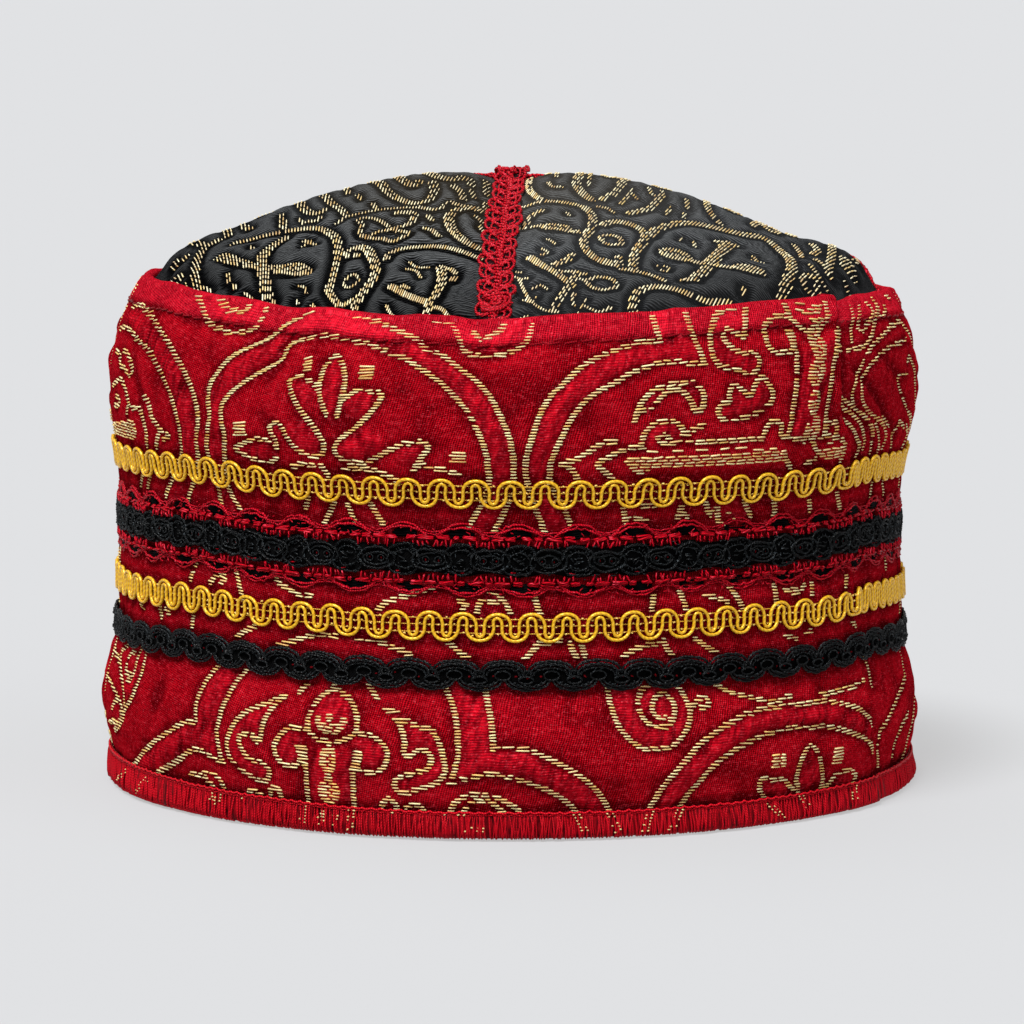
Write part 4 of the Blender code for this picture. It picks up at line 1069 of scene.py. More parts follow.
CROWN_LEFT = [
 (1.1, ((-63,-25.5),(-60,-26.8),(-56,-27.5),(-52,-29),(-48,-31),(-44,-33),(-41.5,-35.3),(-39.5,-38.5),(-38,-42),(-37.3,-46),(-37,-51),(-37.2,-56),(-37.3,-61),(-37.8,-65.5),(-36.6,-69.5),(-35,-73))),
 (1.0, ((-68,-19.5),(-71,-22),(-71.7,-28),(-71.5,-33),(-71,-38),(-70,-43),(-69,-46.8))),
 (1.7, ((-65.3,-33.5),(-63.5,-37),(-61,-41),(-58,-45))), (1.3, ((-58,-45),(-54.5,-48),(-50,-51))),
 (1.5, ((-51,-34),(-53.4,-36.5),(-54.9,-40),(-55,-45),(-54,-50),(-53.3,-55),(-52.5,-60),(-51,-65.5))),
 (0.6, ((-45.6,-38.6),(-44.2,-40.8),(-43,-42.3))), (0.5, ((-45.6,-41.5),(-44,-39))), (0.5, ((-59,-31.3),(-58.2,-33.8))), (0.5, ((-45,-62),(-43.5,-62.6),(-43,-65.2))), (0.5, ((-44.8,-66.8),(-44.6,-68))),
 (0.5, ((-62.7,-46.5),(-62,-51))), (0.5, ((-60.6,-52.5),(-60,-54.5))), (0.6, ((-41,-70),(-40.3,-72.5),(-41.5,-75))),
 (0.55, oval(-33,-63,1.5,2.9,-8)),
 (0.9, ((-37.6,-66.5),(-36.2,-70.8),(-34,-73.3),(-31.7,-71.7))),
 (1.3, ((-35,-50),(-33.8,-48.3),(-31.5,-48),(-30,-50),(-29,-53.5),(-28,-57),(-27.7,-61),(-28.5,-65),(-29.8,-69),(-30.8,-73),(-31.3,-77.5))), (1.1, ((-34.4,-51.3),(-32.6,-51.5))),
 (0.95, ((-25.8,-55.5),(-25,-53),(-22.5,-51),(-19,-50.3),(-15,-50.5),(-11.5,-51.8),(-8.5,-53),(-4.5,-54.2))),
 (1.2, ((-4.6,-31),(-8,-31),(-11,-32.3),(-12.5,-35.5),(-12.3,-39),(-11.3,-43),(-9.5,-46.5),(-7.5,-49),(-4.6,-50))),
 (0.6, ((-6.6,-34),(-4.9,-36.5),(-5.3,-39),(-4.6,-41))),
 (0.65, ((-33.5,-33),(-30.5,-33.8),(-27.5,-37),(-26,-39.7),(-28.5,-41),(-31.5,-42.5),(-33,-40),(-32.5,-37),(-33.5,-33))),
 (1.0, ((-24.7,-32.5),(-21.3,-33.2),(-20.5,-36),(-22.5,-39.3),(-26,-41))), (0.8, ((-32.2,-42.5),(-30,-44),(-27,-45),(-25,-47),(-23,-45.5),(-21.6,-43),(-24,-41.7))),
 (0.7, ((-17.6,-35),(-16.4,-37.2))), (0.7, ((-18,-41),(-16,-42.5),(-14.4,-45.3))),
 (0.6, ((-38.6,-32.8),(-37,-30.5),(-34,-29.8),(-30,-29.5),(-25,-29.8),(-20.5,-30.2))), (0.8, ((-20,-30.2),(-16.5,-32.2),(-14.3,-31),(-13,-28),(-11,-29.5),(-7,-29.6),(-4.8,-28),(-4.5,-25))),
 (1.0, ((-33.5,-4.8),(-32.5,-10),(-30,-15),(-28,-20),(-25.5,-24),(-22.5,-27.5),(-19.5,-28),(-17.5,-25.5),(-17,-21),(-17.5,-18))),
 (1.0, ((-27,-4.7),(-26,-11),(-24.5,-16),(-22,-19),(-21,-17))), (1.2, ((-19.6,-4.7),(-19.5,-9),(-17.5,-14),(-14.5,-16.3),(-12,-16),(-11,-14.5))), (0.9, ((-9,-14.5),(-8.5,-18))),
 (0.8, ((-12.5,-19.5),(-10.5,-23),(-10,-26))), (0.6, ((-8.5,-20.5),(-7.5,-24))), (0.7, ((-5.3,-11),(-5,-20))),
 (0.8, ((-43.5,-13),(-41.5,-19),(-38.5,-25),(-37,-29))), (0.9, ((-50.8,-4.7),(-49.8,-10),(-48.5,-16),(-46.5,-21),(-44,-24),(-42.5,-22.8))),
 (0.8, ((-53,-18),(-52,-24),(-51.3,-27))), (0.4, ((-48.5,-23),(-47,-27.6))), (0.7, ((-46,-27),(-44,-28.6),(-43.4,-26.5))), (0.5, ((-31,-25),(-30,-28.6))), (0.5, ((-35,-19),(-34,-22))),
 (0.8, ((-67,-4.7),(-66.5,-12),(-65.5,-19))), (0.8, ((-63.8,-4.7),(-63.3,-9),(-62,-16),(-60.3,-19.3))), (1.1, oval(-58.2,-8.5,1.3,3.4)), (0.9, ((-75,-4.6),(-75.5,-9),(-73,-16),(-70,-21))), (0.8, ((-78,-19),(-77,-24.5),(-75,-21.5))),
 (0.6, ((-39,-4.7),(-38.4,-11),(-37.5,-17))), (1.0, ((-12.5,-4.7),(-13.4,-8))),
 (1.3, ((-12.8,-60.5),(-12.3,-66),(-13,-71),(-14.2,-76),(-15,-80.5))), (0.9, ((-12,-60.8),(-9.6,-62.3),(-10,-66))),
 (1.2, ((-23.5,-67.5),(-21,-70.5),(-18.3,-73),(-15.5,-75))), (0.7, ((-19.8,-68.5),(-21,-67.2))), (0.8, ((-15,-76.5),(-11.5,-78),(-9.5,-81),(-4.8,-82))),
 (0.5, ((-20,-57),(-18.5,-59.3),(-15.8,-60))), (0.5, ((-20.5,-60),(-18.3,-61.3),(-17.2,-64.5))), (0.6, ((-24,-75),(-23.2,-77.5),(-21.8,-80))), (0.8, ((-16.5,-81.8),(-13,-81.2))),
 (0.5, ((-66,-56),(-62.5,-60),(-58,-64.5))),
 (0.7, oval(-76.5,-33,1.4,2.6,10)), (0.6, ((-73.5,-38.5),(-72.5,-42),(-70.8,-45.6))), (0.5, ((-67.5,-47.5),(-66,-50.5))), (0.5, ((-79.5,-27),(-79,-30.5))), (0.5, ((-57.5,-58),(-55.5,-61.5),(-56.5,-64))), (0.5, ((-49,-70),(-46,-72.5),(-43.5,-73))),
]
CROWN_LEFT_SOLID = [(-47,-53.6,5.2,2.8,-35),(-63.6,-36.5,3.2,1.6,-58)]

# Each panel's gold runs its own way: rows q, distance p along them.
LEAN = math.radians(18.0)
TURN, TURN_AT, TURN_Y = 0.0076, -42.0, -45.0


def to_rows(side, x, y):
    x, y = np.asarray(x, float), np.asarray(y, float)
    if side > 0:
        return (x * math.sin(LEAN) + y * math.cos(LEAN),
                x * math.cos(LEAN) - y * math.sin(LEAN))
    return y, (x - TURN_AT) * np.exp(-TURN * (y - TURN_Y))


def from_rows(side, p, q):
    p, q = np.asarray(p, float), np.asarray(q, float)
    if side > 0:
        return (p * math.sin(LEAN) + q * math.cos(LEAN),
                p * math.cos(LEAN) - q * math.sin(LEAN))
    return TURN_AT + q * np.exp(TURN * (p - TURN_Y)), p


CROWN_ROW = 0.66


def crown_rows(side, strokes, solids):
    marks = {}

    def mark(k, a, b):
        marks.setdefault(k, []).append((a, b))

    def dab(x, y, w):
        p, q = to_rows(side, x, y)
        hq = max(0.45, w * 1.04)
        for k in range(int(math.ceil((q - hq) / CROWN_ROW)),
                       int(math.floor((q + hq) / CROWN_ROW)) + 1):
            d = (k * CROWN_ROW - q) / hq
            half = max(0.5, w * 1.1) * math.sqrt(max(0.0, 1 - d * d))
            mark(k, p - half, p + half)

    for w, pts in strokes:
        for x, y in spline(pts, 0.3):
            dab(x, y, w)
    for cx, cy, rx, ry, tilt in solids:
        c, s = math.cos(math.radians(tilt)), math.sin(math.radians(tilt))
        for a in np.arange(-rx, rx + 0.01, 0.5):
            for b in np.arange(-ry, ry + 0.01, 0.5):
                if (a / rx) ** 2 + (b / ry) ** 2 <= 1:
                    dab(cx + a * c - b * s, cy + a * s + b * c, 0.45)
    return {k: merge(s) for k, s in marks.items()}


CROWN_STEP = 0.5
CX = np.arange(-89, 89 + CROWN_STEP, CROWN_STEP)
CY = np.arange(-89, 2 + CROWN_STEP, CROWN_STEP)


def crown_distance():
    """How far each place of the front half is from the edge of gold."""
    pts, widths = [], []
    for w, s in CROWN_RIGHT + CROWN_LEFT:
        for p in spline(s, 0.7):
            pts.append(p)
            widths.append(w)
    for cx, cy, rx, ry, tilt in CROWN_RIGHT_SOLID + CROWN_LEFT_SOLID:
        for p in spline(oval(cx, cy, rx * 0.55, ry * 0.55, tilt), 0.7):
            pts.append(p)
            widths.append(min(rx, ry) * 0.6)
    tree = kdtree.KDTree(len(pts))
    for i, (x, y) in enumerate(pts):
        tree.insert((x, y, 0.0), i)
    tree.balance()
    out = np.empty((len(CX), len(CY)))
    for i, x in enumerate(CX):
        for j, y in enumerate(CY):
            best = min((d - widths[k]) for _, k, d in
                       tree.find_n((x, y, 0.0), 3))
            out[i, j] = best
    return out


CROWN_DISTANCE = crown_distance()


def crown_near(x, y):
    """Distance to gold at (x, y) of the crown; the back is turned round."""
    back = y > 0
    x, y = np.where(back, -x, x), np.where(back, -y, y)
    fx = np.clip((x - CX[0]) / CROWN_STEP, 0, len(CX) - 1.001)
    fy = np.clip((y - CY[0]) / CROWN_STEP, 0, len(CY) - 1.001)
    i, j = fx.astype(int), fy.astype(int)
    fx, fy = fx - i, fy - j
    r = CROWN_DISTANCE
    return (r[i, j] * (1 - fx) * (1 - fy) + r[i + 1, j] * fx * (1 - fy)
            + r[i, j + 1] * (1 - fx) * fy + r[i + 1, j + 1] * fx * fy)


def crown_relief(x, y):
    d = crown_near(x, y)
    out = np.maximum(d, 0.0)
    h = 1.28 * (1.0 - np.exp(-(out / 2.2) ** 2)) - 0.72
    h += np.where(d < 0, 0.30 * smooth(-d / 0.8), 0.0)
    h -= 0.35 * np.exp(-((d - 0.75) / 0.45) ** 2)
    h += 0.22 * ripple(x / 9 + 40, y / 8 + 40, 21)
    h += 0.14 * ripple((x + 0.5 * y) / 3.6 + 80, y / 3.2 + 80, 22) * smooth(
        out / 1.5)
    # a second, finer line of quilting follows the gold outside
    h -= 0.30 * np.exp(-((d - 3.4) / 0.42) ** 2)
    h -= 0.16 * np.exp(-((d - 5.6) / 0.45) ** 2)
    r = np.hypot(x, y)
    h *= 1 - 0.84 * np.exp(-(y / 27.0) ** 2)  # drawn flatter over the ridge
    h *= 1 - 0.7 * smooth((r - 81) / 4.0)
    near_seam = np.minimum(np.abs(x), np.abs(y))
    h *= 0.35 + 0.65 * smooth((near_seam - 2.5) / 3.0)
    # the crown sinks a little beside the rim, unevenly
    bearing = np.arctan2(x, -y)
    h -= 0.35 * smooth((r - 76) / 8.0) * (
        1 + ripple(bearing * 6 + 60, r * 0 + 7, 23))
    return h


def crown_point(x, y, off=0.0, with_relief=True):
    x, y = np.asarray(x, float), np.asarray(y, float)
    z = crown_height(x, y) + off + crown_shoulder(x, y)
    if with_relief:
        z = z + crown_relief(x, y)
    return np.stack([x + crown_slide(x, y), y, z], -1)


def crown_slide(x, y):
    """The crown's right edge follows the rim, which leans out there."""
    r = np.hypot(x, y)
    return np.maximum(x, 0.0) / 85.0 * 2.2 * smooth((r - 62.0) / 22.0)


def crown_shoulder(x, y):
    r = np.hypot(x, y)
    b = np.degrees(np.arctan2(x, -y))
    return 0.3 * np.exp(-((b - 92.0) / 26.0) ** 2) * smooth(
        (r - 66.0) / 16.0)


def crown_normal(x, y, with_relief=False):
    e = 0.4
    px = crown_point(x + e, y, 0, with_relief) - crown_point(x - e, y, 0,
                                                             with_relief)
    py = crown_point(x, y + e, 0, with_relief) - crown_point(x, y - e, 0,
                                                             with_relief)
    n = np.cross(px, py)
    return n / np.linalg.norm(n, axis=-1, keepdims=True)


def build_crown(mat):
    n = 215
    a = np.linspace(-1, 1, n)
    A, B = np.meshgrid(a, a, indexing="ij")
    # a square grid drawn round into a disc
    big = np.abs(A) > np.abs(B)
    safe_a, safe_b = np.where(A == 0, 1e-9, A), np.where(B == 0, 1e-9, B)
    r = np.where(big, A, B)
    phi = np.where(big, math.pi / 4 * B / safe_a,
                   math.pi / 2 - math.pi / 4 * A / safe_b)
    X, Y = r * np.cos(phi), r * np.sin(phi)
    R = np.hypot(X, Y)
    inside = 0.965                            # the rest is turned down
    flat = np.minimum(R / inside, 1.0) * 85.2
    down = np.clip((R - inside) / (1 - inside), 0, 1) * 5.0
    ux, uy = X / np.maximum(R, 1e-9), Y / np.maximum(R, 1e-9)
    rad = flat + 0.42 * down
    x, y = ux * flat, uy * flat
    z = (crown_height(x, y) + crown_relief(x, y) + crown_shoulder(x, y)
         - down)
    verts = np.stack([ux * rad + crown_slide(x, y), uy * rad, z], -1)
    d = crown_near(x, y)
    raised = crown_relief(x, y)
    # painted shade in the hollows of the relief and painted highlight on its ridges
    painted_hollow_shade = np.clip((soften(raised, 2, 2) - raised) / 0.30, -1, 1)
    # the weave's own directions; not used further
    p_r, q_r = to_rows(1, x, y)
    uv = np.stack([x, y], -1)
    turn = np.where(((x > 0) & (y <= 0)) | ((x <= 0) & (y > 0)), 1.0, 0.0)
    # the mask near the gold carries painted shade of the cloth beside the floats
    piece = new_mesh("crown_brocade", verts, grid_faces(n, n), mat,
                     uv=uv.reshape(-1, 2) * 0.1,
                     attrs={"gold": np.exp(-(np.maximum(d, 0) / 1.0) ** 2
                                           ).ravel(),
                            "puff": smooth(d / 3.0).ravel(),
                            "painted_hollow_shade": np.maximum(painted_hollow_shade, 0).ravel(),
                            "painted_ridge_highlight": np.maximum(-painted_hollow_shade, 0).ravel(),
                            "panel": turn.ravel()},
                     take="black_brocade")
    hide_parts("crown_front_left", "crown_front_right",
                "crown_back_left", "crown_back_right")
    return piece


def build_crown_floats(mat):
    rng = np.random.default_rng(9)
    rows = []
    for side, strokes, solids in ((1, CROWN_RIGHT, CROWN_RIGHT_SOLID),
                                  (-1, CROWN_LEFT, CROWN_LEFT_SOLID)):
        for k, spans in sorted(crown_rows(side, strokes, solids).items()):
            q = k * CROWN_ROW
            for a, b in spans:
                for p0, p1 in split_span(a, b, k, 2.5, 0.30):
                    rows.append((side, (p0 + p1) / 2, q, (p1 - p0) / 2))
    rows = np.array(rows)
    rows = rows[rng.uniform(0, 1, len(rows)) > 0.02]
    side, p, q, half = rows.T
    right = side > 0
    x = np.where(right, from_rows(1, p, q)[0], from_rows(-1, p, q)[0])
    y = np.where(right, from_rows(1, p, q)[1], from_rows(-1, p, q)[1])
    x2 = np.where(right, from_rows(1, p + 0.5, q)[0],
                  from_rows(-1, p + 0.5, q)[0])
    y2 = np.where(right, from_rows(1, p + 0.5, q)[1],
                  from_rows(-1, p + 0.5, q)[1])
    keep = (np.hypot(x, y) < 84.6) & (y < -4.2) & (np.abs(x) > 3.6)
    keep &= np.where(right, x > 0, x < 0)
    x, y, x2, y2, half = x[keep], y[keep], x2[keep], y2[keep], half[keep]
    xs, ys = np.concatenate([x, -x]), np.concatenate([y, -y])
    x2, y2 = np.concatenate([x2, -x2]), np.concatenate([y2, -y2])
    half = np.concatenate([half, half]) * rng.uniform(0.86, 1.04,
                                                      len(half) * 2)
    at = crown_point(xs, ys, 0.06)
    ahead = crown_point(x2, y2, 0.06) - at
    n = crown_normal(xs, ys, True)
    # the thread is worked finer towards the top
    fine = np.interp(np.hypot(xs, ys), (18.0, 58.0), (0.68, 1.0))[:, None]
    verts, faces = grains(at, n, ahead, half, wide=0.208 * fine,
                          tall=0.26 * fine)
    print("crown floats", len(at), "tris", len(faces))
    uv = np.repeat(np.stack([xs, ys], 1), 8, 0)
    shade = np.repeat(rng.uniform(0, 1, len(at)), 8)
    return new_mesh("crown_gold", verts, faces, mat, uv=uv * 0.1,
                    attrs={"strand": shade}, take="gold_gimp")

# ------------------------------------------------------- sewn on round the band
AROUND = np.linspace(0, GIRTH, 1201)


def cloth_t(u, v):
    """t on the strip for u anywhere round the cap."""
    u = np.mod(np.asarray(u, float), GIRTH)
    return np.where(u < lap_u(v), u + GIRTH, u)


def under_trim(v):
    """How the cloth under a trim at height v swells, evened out."""
    h = relief(cloth_t(AROUND[:-1], v), np.full(1200, float(v)))
    wide = 13
    ring = np.concatenate([h[-wide:], h, h[:wide]])
    even = np.convolve(ring, np.ones(2 * wide + 1) / (2 * wide + 1), "valid")
    return np.append(even, even[0])


def sewn(u, v, off, swell):
    """A point off mm over the band."""
    u, v = np.asarray(u, float), np.asarray(v, float)
    bearing = np.degrees(u / ROUND)
    behind = wrap(lap_bearing(v) - bearing)
    lift = OVERLAP_STEP * np.where(
        behind >= 0, 1 - smooth(behind / OVERLAP_FADE),
        1 - smooth(-behind / 2.0))
    r = plain_radius(bearing, v) + lift + off + np.interp(
        np.mod(u, GIRTH), AROUND, swell)
    a = np.radians(bearing)
    return np.stack([r * np.sin(a), -r * np.cos(a),
                     band_height(bearing, v)], -1)


def sewn_tubes(u, v, off, swell, wide, high=None, sides=6, closed=False):
    u, v = np.atleast_2d(u), np.atleast_2d(v)
    off = np.broadcast_to(off, u.shape)
    return tubes(sewn(u, v, off, swell), out_of_band(u), wide, high, sides,
                 closed)


def wander(u, seed, depth=0.3, size=22.0):
    return depth * cloth_noise(u, np.full_like(u, 3.0), size, 9.0, seed)


def sewn_grains(u, v, off, swell, slant, half, wide, tall):
    """Short stitches; slant in degrees from level."""
    at = sewn(u, v, off, swell)
    a = np.radians(slant)
    p = sewn(u + 0.4 * np.cos(a), v + 0.4 * np.sin(a), off, swell)
    verts, faces = grains(at, out_of_band(u), p - at, half, wide, tall)
    return verts, faces


def loose(pile, verts, faces, pick=0, uv=None):
    """Adds plain triangles to a Pile."""
    n = len(verts)
    if uv is None:
        uv = np.tile(np.array([[0.0, 0.0], [1.2, 0.0], [0.2, 0.2], [0.2, 0.5],
                               [0.2, 0.8], [1.0, 0.2], [1.0, 0.5],
                               [1.0, 0.8]]), (n // 8, 1))
        uv = uv + np.repeat(np.arange(n // 8) * 1.37, 8)[:, None]
    pile.v.append(verts)
    pile.f.append(faces + pile.n)
    pile.uv.append(uv)
    pile.pick.append(np.full(len(faces), pick))
    pile.n += n


def plied(pile, u, v, off, swell, thick, pick, pitch=1.5, spread=0.2,
          sides=4, closed=False, flat=0.75, plies=2):
    """Threads wound round each other along each of many paths."""
    u, v = np.atleast_2d(u), np.atleast_2d(v)
    off = np.broadcast_to(off, u.shape)
    if closed:
        du = np.roll(u, -1, 1) - np.roll(u, 1, 1)
        dv = np.roll(v, -1, 1) - np.roll(v, 1, 1)
        leg = np.hypot(np.roll(u, -1, 1) - u, np.roll(v, -1, 1) - v)
    else:
        du, dv = np.gradient(u, axis=1), np.gradient(v, axis=1)
        leg = np.hypot(np.diff(u, axis=1), np.diff(v, axis=1))
        leg = np.concatenate([leg, leg[:, -1:]], 1)
    size = np.hypot(du, dv) + 1e-9
    nu, nv = -dv / size, du / size
    run = np.concatenate([np.zeros((len(u), 1)),
                          np.cumsum(leg, 1)[:, :-1]], 1)
    total = leg.sum(1, keepdims=True)
    turns = np.maximum(1, np.round(total / pitch))
    for k in range(plies):
        ph = 2 * math.pi * (turns * run / total + k / plies)
        pile.add(sewn_tubes(u + nu * spread * np.sin(ph),
                            v + nv * spread * np.sin(ph),
                            off + spread * flat * np.cos(ph), swell, thick,
                            None, sides, closed), pick, (0.37 * k, 0.0))


# --- gold gimp: a pair of cords laid in bends over three thin threads
def bend_count(u0, squeeze):
    """Bends up to u, closer together just past the lap."""
    u = np.linspace(u0, u0 + GIRTH, 2401)
    past = u - u0
    dense = 1.0 / 7.75 * (1 + squeeze * smooth(past / 3.0)
                          * (1 - smooth((past - 34) / 26.0)))
    n = np.concatenate([[0], np.cumsum((dense[1:] + dense[:-1]) / 2
                                       * np.diff(u))])
    whole = round(n[-1])
    # take up the odd part round the back
    back = smooth((past - 90) / 60) * (1 - smooth((past - 330) / 60))
    extra = np.concatenate([[0], np.cumsum((back[1:] + back[:-1]) / 2
                                           * np.diff(u))])
    return u, n + (whole - n[-1]) * extra / extra[-1], whole


# one cord from the middle of a wide bend to the middle of a narrow one
BEND = ((0.0, 2.98), (0.9, 2.88), (1.75, 2.50), (2.42, 1.82), (2.76, 0.95),
        (2.84, 0.0), (2.80, -0.85), (2.90, -1.50), (3.22, -2.02),
        (3.725, -2.22))


def bend_path(count=24):
    half = spline(BEND, 0.2)
    run = np.concatenate([[0], np.cumsum(np.hypot(*np.diff(half, axis=0).T))])
    at = np.linspace(0, run[-1], count // 2 + 1)
    half = np.stack([np.interp(at, run, half[:, 0]),
                     np.interp(at, run, half[:, 1])], 1)
    other = np.stack([7.45 - half[::-1, 0], half[::-1, 1]], 1)
    return np.vstack([half, other[1:-1]])


def build_gold_gimp(name, node, v0, u_join, shift, seed, mats):
    pile = Pile()
    swell = under_trim(v0)
    us, count, whole = bend_count(u_join, 0.34)
    path = bend_path()
    m = len(path)
    bend = np.repeat(np.arange(whole), m)
    x, y = np.tile(path[:, 0] / 7.45, whole), np.tile(path[:, 1], whole)
    for k, flip in enumerate((1.0, -1.0)):
        c = bend + x + (0.0 if k == 0 else 0.5)
        slack = 0.16 * ripple(c * 2.0, c * 0 + 4 + k, seed + 1)
        tall = 1 + 0.04 * ripple(c, c * 0 + 3, seed)
        at = np.mod(c - shift + 0.022 * ripple(c * 1.0, y * 0.5 + 30 * k + 60,
                                               seed + 2), whole)
        u = np.interp(at, count, us)
        gap = np.abs((u - u_join + GIRTH / 2) % GIRTH - GIRTH / 2)
        near = np.exp(-(gap / 4.0) ** 2)
        u = u + slack * 0.6 - 0.9 * np.sin(2 * math.pi * c) * near
        v = v0 + y * flip * tall * (1 - 0.10 * near) + wander(
            u, seed + 3, 0.25)
        # where the cords cross over the thin threads they bow a little
        off = 0.72 + 0.10 * ripple(c * 2.3, c * 0 + 9 * k, seed + 7) + (
            0.10 * (y * flip / 3.0) ** 2)
        pile.add(sewn_tubes(u, v, off, swell, 0.375, 0.44, 6, closed=True),
                 0, (0.0, 0.31 * k))
    # dark band laid under the cords
    n, rows = 700, 4
    c = np.arange(n) / n * whole
    mid = np.interp(np.mod(c - shift, whole), count, us)
    T, A = np.meshgrid(mid, np.linspace(-1, 1, rows), indexing="ij")
    C = np.broadcast_to(c[:, None], T.shape)
    V = v0 + 2.55 * A + 0.20 * np.cos(2 * math.pi * C) + wander(
        T, seed + 3, 0.25)
    OFF = 0.20 + 0.10 * ripple(T / 0.8, V / 0.7, seed + 9) - 0.18 * A ** 4
    pts = sewn(T, V, OFF, swell).reshape(-1, 3)
    faces = grid_faces(n, rows, close_columns=True)
    pile.v.append(pts)
    pile.f.append(quads_to_tris(faces))
    pile.uv.append(np.stack([T.ravel(), V.ravel()], -1))
    pile.pick.append(np.full(len(faces) * 2, 2))
    pile.n += len(pts)
    # three thin threads behind
    t = np.linspace(0, GIRTH, 300, endpoint=False)
    rises = (1.75, 0.30, -1.40)
    for k, rise in enumerate(rises):
        pile.add(sewn_tubes(t, v0 + rise + wander(t, seed + 3, 0.25), 0.34,
                            swell, 0.13, 0.12, 4, closed=True), 1)
    # its little beads between the legs of the bends
    c = np.arange(whole)[:, None, None] + np.array(
        (0.0, 0.25, 0.5, 0.75))[None, :, None] - shift
    rise = np.array(rises)[None, None, :]
    c, rise = np.broadcast_arrays(c, rise)
    c, rise = c.ravel(), rise.ravel()
    u = np.interp(np.mod(c, whole), count, us)
    rng = np.random.default_rng(seed)
    u = u + rng.normal(0, 0.20, len(u))
    v = v0 + rise + wander(u, seed + 3, 0.25) + rng.normal(0, 0.16, len(u))
    keep = rng.uniform(0, 1, len(u)) > 0.12
    u, v = u[keep], v[keep]
    verts, faces = sewn_grains(u, v, np.full(len(u), 0.52), swell,
                               rng.uniform(-35, 35, len(u)),
                               rng.uniform(0.26, 0.46, len(u)), 0.21, 0.22)
    loose(pile, verts, faces, 3)
    piece = pile.make(name, mats, take="gold_gimp")
    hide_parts(node)
    return piece


# --- the wide black gimp: eyes and knots
EYE = GIRTH / 45.0
EYE_AT = -6.6


def net(pile, T, V, OFF, swell, pick=0):
    pts = sewn(T, V, OFF, swell).reshape(-1, 3)
    faces = grid_faces(T.shape[0], T.shape[1], close_columns=True)
    pile.v.append(pts)
    pile.f.append(quads_to_tris(faces))
    pile.uv.append(np.stack([T.ravel(), V.ravel()], -1))
    pile.pick.append(np.full(len(faces) * 2, pick))
    pile.n += len(pts)


def spots(pile, u, v, off, swell, slant, half, wide, tall, pick):
    verts, faces = sewn_grains(u, v, np.broadcast_to(off, u.shape), swell,
                               slant, half, wide, tall)
    loose(pile, verts, faces, pick)


